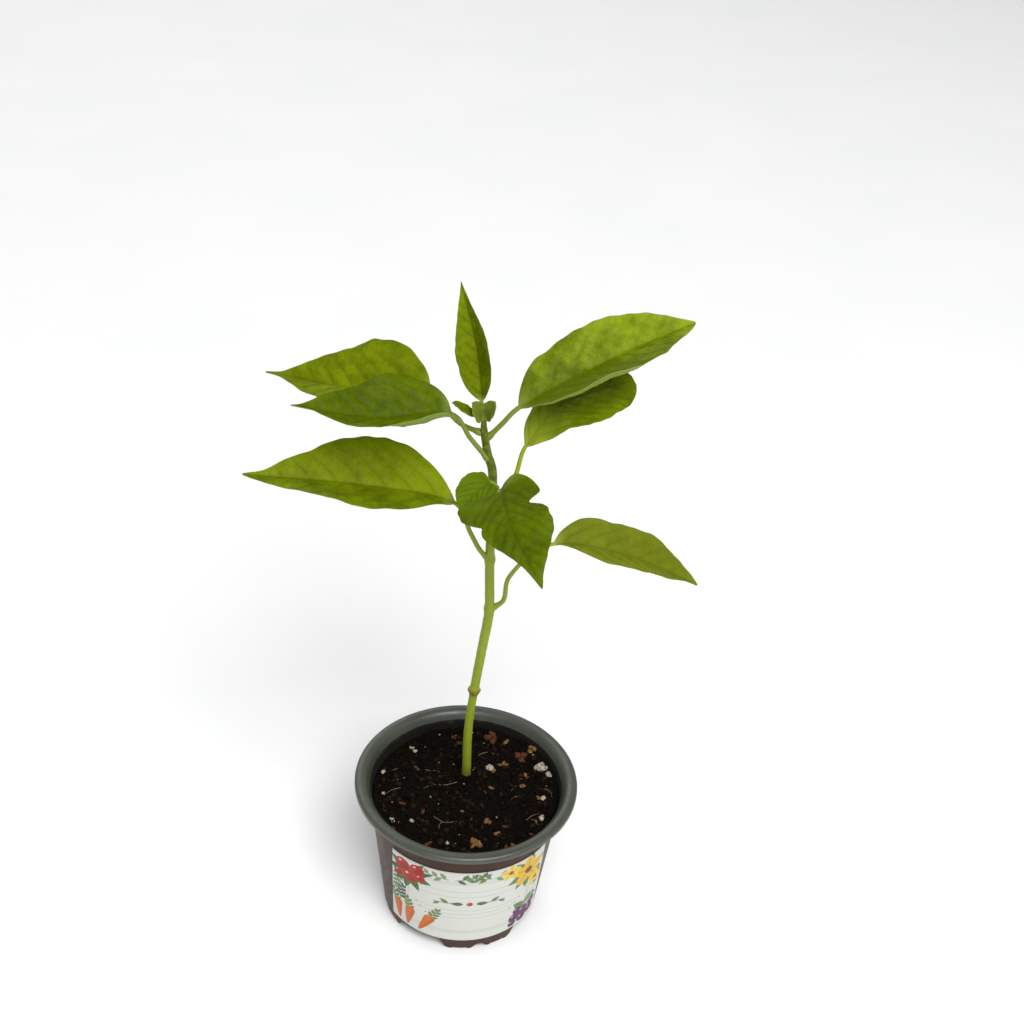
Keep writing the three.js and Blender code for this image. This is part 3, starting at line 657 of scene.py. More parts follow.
class Spine:
    """The smooth path of a leaf from the stem to its tip, by the distance along it."""

    def __init__(self, leaf, root):
        self.path = smooth_path([root, *leaf["bends"], leaf["base"], leaf["middle"], leaf["tip"]])
        steps = np.linalg.norm(np.diff(self.path, axis=0), axis=1)
        self.lengths = np.concatenate([[0], np.cumsum(steps)])
        self.total = self.lengths[-1]
        self.base = self.lengths[PATH_STEPS * (len(leaf["bends"]) + 1)]
        self.blade = self.total - self.base

    def at(self, distance):
        return point_along(self.path, self.lengths, distance)

    def frame(self, distance, face):
        """The middle, and the directions to the right and up, at a distance."""
        along = unit(self.at(min(self.total, distance + 0.6)) - self.at(max(0, distance - 0.6)))
        up = unit(face - face.dot(along) * along)
        return self.at(distance), np.cross(along, up), up


def leaf_ring(leaf, spine, station, columns, seed, values):
    """One ring of points round a leaf, its upper face first. It adds to `values` in step."""
    count = columns + 1
    middle, right, up = spine.frame(station, np.array(leaf["face"], float))
    share = max(0.0, (station - spine.base) / spine.blade)
    radius = leaf["stalk"] + (STALK_TIP_RADIUS - leaf["stalk"]) * station / spine.total
    radius += 0.45 * leaf["stalk"] * exp(-((station - 2.4) / 1.8) ** 2)
    widths = [max(leaf["half"][half] * blade_profile(leaf, share, half)
                  * margin_frill(share, half, seed), 0.12) for half in (0, 1)]
    flat = 1.0 if share > 0.5 else float(
        np.clip((max(widths) - 0.5 * radius) / (2 * radius), 0, 1))
    strength = flat * min(1.0, (1 - share) / 0.15)
    over, under = [], []
    for column in range(count):
        across = -1 + 2 * column / columns
        half = 1 if across > 0 else 0
        x = across * widths[half]
        side_vein, midrib, bulge = vein_relief(leaf, share, across, widths[half],
                                               max(leaf["half"]), spine.blade)
        spot = Vector(middle + right * x)
        pucker = noise.noise(spot / 6 + Vector((seed, 0, 0))) * min(1, abs(x) / 4)
        ripple = noise.noise(spot / 9 + Vector((0, seed, 0))) * abs(across) ** 3
        relief = (leaf["quilt"] * (bulge - 0.3) + PUCKER * pucker
                  + RIPPLE * ripple * fade(share, 0.05, 0.2))
        sunk = VEIN_DEPTH * side_vein + MIDRIB_DEPTH * midrib
        lift = blade_lift(leaf, share, across, widths[half]) + strength * (relief - 0.6 * sunk)
        edge = sqrt(max(0.0, 1 - across ** 8))
        thick = BLADE_THICKNESS / 2 * (0.35 + 0.65 * edge)
        angle = pi * (column + 0.5) / count
        ring = np.array([-cos(angle), sin(angle)]) * radius
        rib = sqrt(max(0.0, radius ** 2 - x ** 2))
        raised = VEIN_DEPTH * side_vein * strength
        low = ring * [1, -1]
        top = ring + (np.array([x, lift + thick]) - ring) * flat
        bottom = low + (np.array([x, lift - thick - rib - raised]) - low) * flat
        over.append(middle + right * top[0] + up * top[1])
        under.append(middle + right * bottom[0] + up * bottom[1])
        values["vein"].append(max(side_vein * 0.75, midrib) * strength)
        values["stalk"].append(1 - flat * fade(share, 0.0, leaf["pale"]) if share < 0.5 else 0.0)
        # Painted light and shade of each half, from its base to its tip.
        values["tone_and_painted_light"].append(np.interp(share, (0, 1), leaf["tone_and_painted_light"][half]))
    for numbers in values.values():
        numbers += numbers[-count:][::-1]
    return over + under[::-1]


def leaf_arrays(leaf, root, stalk_steps, blade_steps, columns, seed):
    """Points, faces, material numbers and point values of a leaf with its stalk."""
    spine = Spine(leaf, root)
    stations = [spine.base * step / stalk_steps for step in range(stalk_steps)]
    stations += [spine.base + spine.blade * min(step / blade_steps, LAST_SHARE)
                 for step in range(blade_steps + 1)]
    points, values = [], {"vein": [], "stalk": [], "tone_and_painted_light": []}
    for station in stations:
        points += leaf_ring(leaf, spine, station, columns, seed, values)
    count = columns + 1
    rows, size = len(stations), 2 * count
    faces = ring_faces(rows, size)
    slots = ([0] * count + [1] * count) * (rows - 1)
    for start, order in ((0, 1), ((rows - 1) * size, -1)):
        for side in range(columns):
            quad = (start + side, start + side + 1, start + size - 2 - side,
                    start + size - 1 - side)
            faces.append(quad[::-order])
            slots.append(0)
    return points, faces, slots, values


def add_leaf(name, parts, node):
    """One object from one or more leaves, each given as what leaf_arrays takes."""
    points, faces, slots, looks = [], [], [], []
    values = {"vein": [], "stalk": [], "tone_and_painted_light": []}
    for leaf, *others in parts:
        more_points, more_faces, more_slots, more_values = leaf_arrays(leaf, *others)
        shift, look_shift = len(points), len(looks)
        points += more_points
        faces += [tuple(corner + shift for corner in face) for face in more_faces]
        slots += [index + look_shift for index in more_slots]
        for key, numbers in more_values.items():
            values[key] += numbers
        looks += LEAF_LOOKS[leaf["tint"]]
    made = add_mesh(name, points, faces, slots, looks, values)
    orient(made)
    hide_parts(node)
    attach(made, "root")


# Each look's upper and lower face, as its dark, light, vein and stalk colours, its roughness and
# how much light shines through. The dark and light colours bound a mottling that is partly painted
# light and shade; on the upper faces the vein colour, darker than the blade, is painted shade in
# the sunken veins.
LEAF_COLORS = {
    "leaf": (
        ((80, 94, 0), (118, 132, 4), (66, 79, 0), (138, 150, 60), 0.48, 0.06),
        ((112, 130, 50), (125, 143, 61), (140, 154, 78), (130, 145, 69), 0.56, 0.08)),
    "pale_leaf": (
        ((97, 106, 15), (113, 123, 24), (78, 89, 11), (138, 150, 60), 0.5, 0.06),
        ((115, 130, 54), (128, 143, 65), (140, 154, 78), (130, 145, 69), 0.56, 0.08)),
    # A darker copy of the leaf look: partly a deeper green of its own and partly painted shade.
    "deep_green_and_painted_shade_leaf": (
        ((64, 80, 0), (92, 110, 0), (56, 70, 0), (121, 138, 61), 0.46, 0.05),
        ((119, 138, 56), (134, 151, 71), (145, 160, 86), (130, 145, 69), 0.56, 0.08)),
    # A lighter green, its light colour raised to paint highlight patches.
    "bright_green_and_painted_highlight_leaf": (
        ((84, 100, 0), (134, 152, 22), (74, 90, 0), (112, 126, 46), 0.44, 0.08),
        ((125, 141, 61), (138, 154, 74), (151, 166, 93), (136, 151, 74), 0.56, 0.1)),
    # A little darker than the leaf look, with a brighter stalk colour that paints light on the
    # blade's base.
    "painted_lit_base_leaf": (
        ((80, 94, 0), (112, 126, 4), (68, 82, 2), (138, 152, 40), 0.48, 0.06),
        ((112, 130, 50), (125, 143, 61), (140, 154, 78), (150, 162, 70), 0.56, 0.08)),
    "fresh_leaf": (
        ((78, 99, 0), (95, 117, 4), (69, 87, 0), (138, 150, 60), 0.46, 0.06),
        ((125, 140, 67), (138, 153, 80), (151, 164, 93), (136, 151, 74), 0.56, 0.1)),
    "bud_leaf": (
        ((100, 114, 34), (120, 134, 50), (88, 102, 28), (104, 120, 40), 0.55, 0.1),
        ((104, 118, 40), (124, 137, 58), (132, 144, 66), (104, 120, 40), 0.55, 0.1)),
}
LEAF_LOOKS = {
    name: [leaf_material(f"{name}_upper", *upper), leaf_material(f"{name}_lower", *lower)]
    for name, (upper, lower) in LEAF_COLORS.items()
}


def add_leaves():
    for seed, (name, entry) in enumerate(LEAVES.items()):
        leaf = {**COMMON_LEAF, **entry}
        add_leaf(name + "_blade", [(leaf, stem_point(leaf["root"]), *LEAF_PIECES, seed)], name)
    buds = [({**COMMON_LEAF, **COMMON_BUD_LEAF, **entry}, np.array(BUD_ROOT, float), *BUD_PIECES,
             seed) for seed, entry in enumerate(BUD_LEAVES, BUD_SEED)]
    add_leaf("shoot_tip_leaves", buds, "shoot_tip")


# ---- Pot ----

POT_HEIGHT = 76
POT_SHEET = 1.0
POT_SIDES = 160
RIM_RADIUS = 52.5
RIM_INNER_RADIUS = 47.5
RIM_DROP = 3.0
WALL_FOOT_RADIUS = 37.2
WALL_SLOPE = 0.121
FLOOR_RAISE = 8.0
FOOT_INNER_RADIUS = 29.0
FOOT_PAIRS = 4
# Each arch of a pair: its angle, its half width at the bottom and at the top, and its height.
ARCHES = [(-28, 14.5, 9.0, 6.7), (17, 4.8, 0.8, 3.0)]
DRAIN_COUNT = 5
DRAIN_RADIUS = 3
DRAIN_RING_RADIUS = 18
DRAIN_SIDES = 24
INNER_LOOK_FROM = 9.2  # height over which the wall's inner face has its own look


def wall_radius(height):
    return WALL_FOOT_RADIUS + WALL_SLOPE * height


def rounded(corners):
    """A closed outline of (radius, height, rounding) corners, with its corners rounded."""
    path = []
    count = len(corners)
    for index, (radius, height, rounding) in enumerate(corners):
        here = np.array([radius, height], float)
        if rounding <= 0:
            path.append(here)
            continue
        ends = []
        for other in (corners[index - 1], corners[(index + 1) % count]):
            toward = np.array(other[:2], float) - here
            reach = min(rounding, np.linalg.norm(toward) * 0.48)
            ends.append(here + unit(toward) * reach)
        for step in range(5):
            t = step / 4
            path.append(ends[0] * (1 - t) ** 2 + here * 2 * t * (1 - t) + ends[1] * t ** 2)
    return path


def turned_mesh(name, path):
    """A closed outline of (radius, height) points, turned round the pot's axis."""
    points = [(radius * ahead, -radius * right, height)
              for right, ahead in circle(POT_SIDES) for radius, height in path]
    faces = [tuple(corner % len(points) for corner in face)
             for face in ring_faces(POT_SIDES + 1, len(path))]
    made = add_mesh(name, points, faces)
    orient(made, weld=1e-7)
    return made


def arch_points(half, top_half, top):
    """The outline of an arch's opening, from half widths and a height."""
    bend = 0.5 * (half - top_half)
    curve = []
    for step in range(9):
        t = step / 8
        x = (half * (1 - t) ** 3 + 3 * (half - bend) * t * (1 - t) ** 2
             + 3 * (top_half + bend) * t ** 2 * (1 - t) + top_half * t ** 3)
        y = 3 * 0.03 * top * t * (1 - t) ** 2 + 3 * top * t ** 2 * (1 - t) + top * t ** 3
        curve.append((x, y))
    return [(half, -2.0), *curve, *[(-x, y) for x, y in reversed(curve)], (-half, -2.0)]


def arch_mesh(name, extra):
    """Bars in the shape of the arches, `extra` millimetres larger all round."""
    points, faces = [], []
    for pair in range(FOOT_PAIRS):
        for angle, half, top_half, top in ARCHES:
            outline = arch_points(half + extra, top_half + extra, top + extra)
            turn = radians(angle + 360 / FOOT_PAIRS * pair)
            faces += tube_faces(2, len(outline), len(points))
            for reach in (FOOT_INNER_RADIUS - 4, RIM_RADIUS):
                points += [(x * cos(turn) + reach * sin(turn),
                            x * sin(turn) - reach * cos(turn), z)
                           for x, z in outline]
    made = add_mesh(name, points, faces, smooth=False)
    orient(made)
    return made


def drain_mesh():
    """The round bars that cut the drain holes through the floor."""
    points, faces = [], []
    for place_right, place_ahead in circle(DRAIN_COUNT):
        faces += tube_faces(2, DRAIN_SIDES, len(points))
        for height in (FLOOR_RAISE - 2, FLOOR_RAISE + 4):
            points += [(DRAIN_RING_RADIUS * place_ahead + DRAIN_RADIUS * right,
                        -DRAIN_RING_RADIUS * place_right + DRAIN_RADIUS * ahead, height)
                       for right, ahead in circle(DRAIN_SIDES)]
    return add_mesh("drains", points, faces, smooth=False)


def boolean(target, tool, operation):
    """Join, cut or overlap `target` with `tool`, which is used up."""
    modifier = target.modifiers.new("cut", "BOOLEAN")
    modifier.object = tool
    modifier.operation = operation
    modifier.solver = "EXACT"
    bpy.context.view_layer.update()
    evaluated = target.evaluated_get(bpy.context.evaluated_depsgraph_get())
    mesh = bpy.data.meshes.new_from_object(evaluated)
    target.modifiers.clear()
    target.data = mesh
    bpy.data.objects.remove(tool)


def add_pot():
    root = POT_HEIGHT - 5
    lip = POT_HEIGHT - RIM_DROP
    floor = FLOOR_RAISE + POT_SHEET
    outer = [
        (0.02, FLOOR_RAISE, 0), (FOOT_INNER_RADIUS - 2, FLOOR_RAISE, 1),
        (FOOT_INNER_RADIUS - 1, 0, 1), (WALL_FOOT_RADIUS, 0, 1.4), (wall_radius(root), root, 1.2),
        (RIM_INNER_RADIUS + 0.9, POT_HEIGHT - 1.2, 0.8),
        (RIM_RADIUS - 1.1, POT_HEIGHT - 1.2, 0.8), (RIM_RADIUS - 1.1, lip, 0.3),
        (RIM_RADIUS, lip, 0.5), (RIM_RADIUS, POT_HEIGHT, 2.4),
        (RIM_INNER_RADIUS, POT_HEIGHT, 2.2), (wall_radius(root) - POT_SHEET, root, 1.2),
        (wall_radius(POT_SHEET) - POT_SHEET, POT_SHEET, 0.8),
        (FOOT_INNER_RADIUS, POT_SHEET, 0.6), (FOOT_INNER_RADIUS - 1, floor, 0.8),
        (0.02, floor, 0),
    ]
    pot = turned_mesh("pot_body", rounded(outer))
    foot = turned_mesh("foot_block", [
        (0.02, FLOOR_RAISE + 0.05), (FOOT_INNER_RADIUS - 2, FLOOR_RAISE + 0.05),
        (FOOT_INNER_RADIUS - 0.9, 0.05), (37.1, 0.05), (wall_radius(12) - 0.05, 12), (0.02, 12),
    ])
    skins = arch_mesh("arch_skins", POT_SHEET)
    boolean(skins, foot, "INTERSECT")
    boolean(pot, skins, "UNION")
    boolean(pot, arch_mesh("arches", 0.0), "DIFFERENCE")
    boolean(pot, drain_mesh(), "DIFFERENCE")
    pot.data.materials.clear()
    for look in POT_LOOKS:
        pot.data.materials.append(look)
    for face in pot.data.polygons:
        middle = face.center / MM
        reach, height = hypot(middle.x, middle.y), middle.z
        inside = reach < wall_radius(height) - 0.45 and height > INNER_LOOK_FROM
        rim = height > lip - 0.05
        face.material_index = 2 if inside and height < POT_HEIGHT - 0.9 else int(inside or rim)
    pot.data.shade_smooth()
    pot.data.set_sharp_from_angle(angle=radians(34))
    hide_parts("pot")
    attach(pot, "root")


# The looks of the outside, the rim and the inside, in the order of their numbers in add_pot.
POT_LOOKS = [
    pot_material("pot_outside", (66, 47, 38), (72, 53, 43), 0.1, 0.1),
    pot_material("pot_rim", (52, 57, 46), (66, 70, 59), 0.35, 0.75),
    pot_material("pot_inside", (36, 38, 30), (48, 51, 42), 0.6, 0.25, soil_line=73.2),
]

# ---- Label ----

LABEL_WIDTH = 81.0
LABEL_HEIGHT = 51.5
LABEL_FOOT = 7.5
LABEL_MIDDLE = radians(7)
LABEL_PROUD = 0.55  # outer face of the paper, over the pot's wall
LABEL_EDGE = 0.45  # how far its edge is turned in
PRINT_STEP = 0.2
PRINT_TONE = 0.8


def shade(color, share):
    return tuple(value * share for value in color)


class Canvas:
    """A drawing of the label's print, in millimetres from its lower left corner."""

    def __init__(self):
        self.columns = int(LABEL_WIDTH / PRINT_STEP) + 1
        self.rows = int(LABEL_HEIGHT / PRINT_STEP) + 1
        self.x, self.y = np.meshgrid(np.linspace(0, LABEL_WIDTH, self.columns),
                                     np.linspace(0, LABEL_HEIGHT, self.rows))
        self.ink = np.empty((self.rows, self.columns, 3))
        self.ink[:] = linear(226, 228, 220)[:3]

    def fill(self, distance, color, strength=1.0):
        cover = np.clip(0.5 - distance / (1.2 * PRINT_STEP), 0, 1)[..., None] * strength
        self.ink += (np.array(linear(*color)[:3]) - self.ink) * cover

    def local(self, x, y, angle):
        """Every point's place from x, y, along and across a direction in degrees."""
        turn = radians(angle)
        right, up = self.x - x, self.y - y
        return right * cos(turn) + up * sin(turn), up * cos(turn) - right * sin(turn)

    def oval(self, x, y, wide, high, angle, color, strength=1.0):
        right, up = self.local(x, y, angle)
        distance = (np.hypot(right / wide, up / high) - 1) * min(wide, high)
        self.fill(distance, color, strength)

    def line(self, points, width, color, strength=1.0):
        distance = np.full(self.x.shape, 1e3)
        for (x0, y0), (x1, y1) in zip(points, points[1:]):
            across, rise = x1 - x0, y1 - y0
            share = np.clip(((self.x - x0) * across + (self.y - y0) * rise)
                            / max(across ** 2 + rise ** 2, 1e-9), 0, 1)
            distance = np.minimum(distance, np.hypot(self.x - x0 - share * across,
                                                     self.y - y0 - share * rise))
        self.fill(distance - width / 2, color, strength)

    def spindle(self, x, y, length, angle, half_width):
        """A shape that runs from x, y: places along it and across it, its half width there and
        the distance to its edge."""
        right, up = self.local(x, y, angle)
        edge = half_width(np.clip(right / length, 0, 1))
        ends = np.maximum(-right, right - length)
        return right, up, edge, np.maximum(np.abs(up) - edge, ends)

    def leaf(self, x, y, length, width, angle, color):
        _, up, _, distance = self.spindle(
            x, y, length, angle, lambda share: width * np.sin(pi * share ** 0.8))
        self.fill(distance, color)
        self.fill(np.maximum(distance, up), shade(color, 0.78), 0.45)
        self.fill(np.maximum(np.abs(up) - 0.12, distance), shade(color, 0.78), 0.6)

    def sprig(self, x, y, angle, length, leaves, size, color):
        turn = radians(angle)
        tip = (x + length * cos(turn), y + length * sin(turn))
        self.line([(x, y), tip], 0.35, shade(color, 0.7))
        for step in range(leaves):
            share = (step + 0.6) / leaves
            side = 1 if step % 2 else -1
            self.leaf(x + (tip[0] - x) * share, y + (tip[1] - y) * share,
                      size * (1.1 - 0.4 * share), size * 0.24, angle + side * 48, color)
        self.leaf(tip[0], tip[1], size * 0.7, size * 0.18, angle, color)

    def blossom(self, x, y, size, color, heart):
        for petal in range(5):
            turn = 72 * petal + 18
            place = radians(turn)
            spot = (x + 0.52 * size * cos(place), y + 0.52 * size * sin(place))
            self.oval(*spot, 0.5 * size, 0.34 * size, turn, color)
            self.oval(*spot, 0.4 * size, 0.07 * size, turn, shade(color, 0.82), 0.6)
        self.oval(x, y, 0.24 * size, 0.24 * size, 0, heart)

    def berry(self, x, y, size, color):
        self.oval(x, y, size, size * 0.96, 0, color)
        self.oval(x + 0.2 * size, y - 0.25 * size, size * 0.62, size * 0.55, 0,
                  shade(color, 0.78), 0.5)
        self.oval(x - 0.35 * size, y + 0.38 * size, size * 0.22, size * 0.16, 30,
                  (250, 226, 214), 0.8)

    def root(self, x, y, length, width, angle, color):
        """A carrot-like root with its tip at x, y."""
        right, up, edge, distance = self.spindle(
            x, y, length, angle,
            lambda share: width * share ** 0.6 * np.sqrt(np.clip((1.04 - share) * 6, 0, 1)))
        self.fill(distance, color)
        self.fill(np.maximum(distance, up + 0.3 * edge), shade(color, 0.82), 0.6)
        for ring in range(1, 6):
            groove = np.maximum(np.abs(right - length * ring / 6.4) - 0.12, 0.2 * width - up)
            self.fill(np.maximum(distance, groove), shade(color, 0.7), 0.7)


def draw_print():
    """Sprigs, flowers, berries and carrots round a ruled panel without writing."""
    canvas = Canvas()
    grey = (132, 138, 130)
    for inset in (9.0, 10.4):
        corners = [(inset, inset - 3), (LABEL_WIDTH - inset, inset - 3),
                   (LABEL_WIDTH - inset, LABEL_HEIGHT - inset + 2),
                   (inset, LABEL_HEIGHT - inset + 2)]
        canvas.line([*corners, corners[0]], 0.22, grey, 0.75)
    for level, inset in ((37.5, 17), (33.5, 15), (23.5, 15), (20.6, 17), (17.8, 20)):
        canvas.line([(inset, level), (LABEL_WIDTH - inset, level)], 0.2, grey, 0.7)
        for x in (inset, LABEL_WIDTH - inset):
            canvas.oval(x, level, 0.45, 0.45, 0, grey)
    middle = LABEL_WIDTH / 2
    for side in (-1, 1):
        canvas.line([(middle + side * 4, 28.5), (middle + side * 17, 28.5)], 0.35, (70, 74, 66))
        canvas.leaf(middle + side * 3, 28.5, 6, 1.3, 90 - side * 90, (92, 112, 72))
        canvas.leaf(middle + side * 10, 28.5, 5, 1.1, 90 - side * 55, (120, 142, 88))
        canvas.leaf(middle + side * 14, 28.5, 4, 0.9, -90 + side * 55, (120, 142, 88))
    canvas.berry(middle, 28.5, 1.5, (186, 60, 48))
    green, grey_green, dusk = (112, 146, 84), (140, 164, 118), (84, 102, 92)
    for x, angle, length, color in ((30, 172, 13, grey_green), (33, 12, 14, dusk),
                                    (50, 168, 10, green), (51, 8, 12, grey_green)):
        canvas.sprig(x, 46, angle, length, 6, 4.6, color)
    for x, y, angle, length, color in ((4.5, 38, 262, 12, green), (75.5, 24, 82, 13, green),
                                       (5.5, 18, 84, 10, dusk), (77, 20, 262, 9, grey_green)):
        canvas.sprig(x, y, angle, length, 7, 4.4, color)
    for angle in (165, 200, 235, 265, 320, 20, 80, 130):
        canvas.leaf(70, 41, 12.5, 2.6, angle, green)
    canvas.blossom(70, 41.5, 9.6, (238, 192, 52), (128, 70, 26))
    canvas.blossom(59.5, 46.2, 5.4, (244, 210, 96), (150, 90, 38))
    canvas.blossom(76, 31, 5.4, (244, 210, 96), (150, 90, 38))
    for angle in (150, 190, 235, 265, 300, 345, 20, 50):
        canvas.leaf(10, 42, 12.5, 2.6, angle, (78, 112, 58))
    for x, y, size in ((6.6, 46, 4.2), (14.6, 46.4, 3.8), (10.8, 39.6, 4.3), (4.2, 38, 2.9),
                       (16.4, 41, 2.7)):
        canvas.berry(x, y, size, (184, 44, 34))
    for x, angle in ((4, 108), (11.5, 98), (22, 60)):
        canvas.sprig(x, 13.5, angle, 8, 6, 4, green)
    for x, y, angle in ((5.5, 1.4, 96), (10.5, 0.8, 84), (17, 1.6, 66)):
        canvas.root(x, y, 15, 3.1, angle, (222, 112, 32))
    canvas.leaf(70, 13, 9, 2.5, 140, green)
    canvas.leaf(70, 13, 8.5, 2.3, 60, grey_green)
    for x, y, size in ((64.5, 7.4, 3.2), (70, 9.4, 3.6), (75, 6.2, 3.2), (69.6, 4.0, 3.1),
                       (76.2, 11.6, 2.8), (66, 12.2, 2.6), (63.6, 3.2, 2.4)):
        canvas.berry(x, y, size, (104, 60, 100))
    return canvas


def add_label():
    """The printed sheet on the wall, with a thin edge turned in toward the wall all round."""
    canvas = draw_print()
    rows, columns = canvas.rows, canvas.columns
    heights = LABEL_FOOT + canvas.y
    reach = wall_radius(heights) + LABEL_PROUD
    angle = LABEL_MIDDLE + (canvas.x - LABEL_WIDTH / 2) / wall_radius(heights)
    points = np.stack([reach * np.sin(angle), -reach * np.cos(angle), heights], -1)
    points = points.reshape(-1, 3)
    ink = np.concatenate([canvas.ink * PRINT_TONE, np.ones((rows, columns, 1))], -1).reshape(-1, 4)
    faces = [(row * columns + column, row * columns + column + 1,
              (row + 1) * columns + column + 1, (row + 1) * columns + column)
             for row in range(rows - 1) for column in range(columns - 1)]
    border = list(range(columns))
    border += [row * columns + columns - 1 for row in range(1, rows)]
    border += [(rows - 1) * columns + column for column in range(columns - 2, -1, -1)]
    border += [row * columns for row in range(rows - 2, 0, -1)]
    start = len(points)
    inner = points[border].copy()
    plan = np.hypot(inner[:, 0], inner[:, 1])
    inner[:, :2] *= ((plan - LABEL_EDGE) / plan)[:, None]
    for index in range(len(border)):
        after = (index + 1) % len(border)
        faces.append((border[after], border[index], start + index, start + after))
    points = np.concatenate([points, inner])
    ink = np.concatenate([ink, ink[border]])
    label = add_mesh("label_sheet", points, faces, looks=[label_material()],
                     values={"print": ink})
    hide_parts("label")
    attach(label, "root")


# ---- Soil ----

SOIL_TOP = 66.5
SOIL_RADIUS = 43.8
SOIL_RINGS = 120
SOIL_SIDES = 300
STEM_PLACE = (-0.3, 12)
STRAND_STEPS = 10
STRAND_SIDES = 6
STRAND_RADIUS = 0.15
# How many small pieces of each kind are drawn, besides the larger ones listed below.
CRUMB_COUNT = 1500
PALE_COUNT = 26
BARK_COUNT = 26
ROOT_COUNT = 9


def soil_height(x, y):
    """Height of the soil's surface at a point, with its clods and crumbs."""
    spot = Vector((x, y, 0))
    lift = 0.9 * noise.noise(spot / 14)
    lift += 1.1 * noise.turbulence(spot / 5.5, 3, False) - 0.6
    lift += 0.5 * abs(noise.noise(spot / 1.9 + Vector((7, 3, 1))))
    lift += 0.35 * noise.noise(spot / 0.9)
    away = dist((x, y), STEM_PLACE)
    lift += 0.9 * exp(-(away / 6) ** 2)
    reach = hypot(x, y)
    lift += (2.2 + 0.03 * x) * (max(0.0, reach - 36) / 8) ** 2
    return SOIL_TOP + 0.3 + lift


def add_soil():
    """The soil's surface in rings round its middle, and its sides and bottom in the pot."""
    points = [(0.0, 0.0, soil_height(0, 0))]
    for ring in range(1, SOIL_RINGS + 1):
        reach = SOIL_RADIUS * ring / SOIL_RINGS
        points += [(reach * right, reach * ahead, soil_height(reach * right, reach * ahead))
                   for right, ahead in circle(SOIL_SIDES)]
    for drop in (4, 20, 56):
        reach = wall_radius(SOIL_TOP - drop) - POT_SHEET - 0.3
        points += [(reach * right, reach * ahead, SOIL_TOP - drop)
                   for right, ahead in circle(SOIL_SIDES)]
    faces = [(0, 1 + side, 1 + (side + 1) % SOIL_SIDES) for side in range(SOIL_SIDES)]
    faces += [(1 + a, 1 + d, 1 + c, 1 + b)
              for a, b, c, d in ring_faces(SOIL_RINGS + 3, SOIL_SIDES)]
    faces.append(tuple(reversed(range(len(points) - SOIL_SIDES, len(points)))))
    look = grain_material("soil_dark", (2, 2, 1), (22, 17, 13), 1.1, 0.92)
    soil = add_mesh("soil_bed", points, faces, looks=[look])
    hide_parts("soil")
    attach(soil, "root")


def lump_mesh(name, lumps, looks, seed, sink=0.35):
    """Many irregular lumps in one object. Each is (x, y, size, stretch, look number)."""
    bm = bmesh.new()
    bmesh.ops.create_icosphere(bm, subdivisions=2, radius=1.0)
    shape = np.array([vertex.co[:] for vertex in bm.verts])
    corners = [[vertex.index for vertex in face.verts] for face in bm.faces]
    bm.free()
    draw = np.random.default_rng(seed)
    points, faces, slots = [], [], []
    for x, y, size, stretch, look in lumps:
        spots = [Vector(p) + Vector((x, y, size)) for p in shape]
        lumpy = 1 + np.array([0.5 * noise.noise(spot * 1.3) + 0.35 * noise.noise(spot * 3.7)
                              for spot in spots])
        body = shape * lumpy[:, None] * (size / 2) * np.array([stretch, 1, 0.75])
        turn = Matrix.Rotation(draw.uniform(0, 6.28), 3, "Z") @ Matrix.Rotation(
            draw.uniform(-0.5, 0.5), 3, "Y")
        body = body @ np.array(turn).T
        body += np.array([x, y, soil_height(x, y) + size * (0.5 - sink) * 0.7])
        start = len(points)
        points += body.tolist()
        faces += [tuple(corner + start for corner in face) for face in corners]
        slots += [look] * len(corners)
    made = add_mesh(name, points, faces, slots, looks)
    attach(made, "root")


def strand(points, radius):
    """Points and faces of a thin root along a path."""
    path = smooth_path(points, STRAND_STEPS)
    rings = []
    for index, middle in enumerate(path):
        along = unit(path[min(index + 1, len(path) - 1)] - path[max(index - 1, 0)])
        side = unit(np.cross(along, [0.1, 0.2, 1.0]))
        up = np.cross(side, along)
        thin = radius * (1 - 0.5 * index / len(path))
        rings += [middle + (side * cos(turn) + up * sin(turn)) * thin
                  for turn in np.arange(STRAND_SIDES) * 2 * pi / STRAND_SIDES]
    return rings, ring_faces(len(path), STRAND_SIDES)


# Places and sizes of the larger pale grains and bits of bark, and the bends of the fine roots.
PALE_GRAINS = [
    (-28, 28, 2.4), (-26, 25, 2.0), (-40, 10, 2.2), (-39, -4, 2.2), (-33, -21, 2.2),
    (-24, -21, 2.0), (11, 17, 3.8), (36, 18, 5.4), (39.5, 13, 3.2), (37, -1, 2.8),
    (36, -15, 2.6), (-7, -34, 2.2),
]
BARK = [(6, -33, 6.0), (11, 38, 6.4), (31, 30, 4.2), (26, 26, 6.5), (18, 21, 3.6),
        (-7, 38, 3.2), (11, -19, 3.8)]
ROOTS = [
    [(-4, 6), (-10, 3.5), (-16, 3), (-20, 0)], [(-31, 0), (-35, -1), (-38, -5)],
    [(37, 5), (40, 2), (41, -2)], [(29, -17), (32, -14), (35, -12)],
    [(5, 25), (9, 28), (15, 27)], [(-14, -18), (-9, -21), (-3, -20)],
]


def scattered(draw, count):
    """Seeded places spread evenly over the soil."""
    reach = np.sqrt(draw.uniform(0, 1, count)) * (SOIL_RADIUS - 1.8)
    angle = draw.uniform(0, 2 * pi, count)
    return zip(reach * np.cos(angle), reach * np.sin(angle))


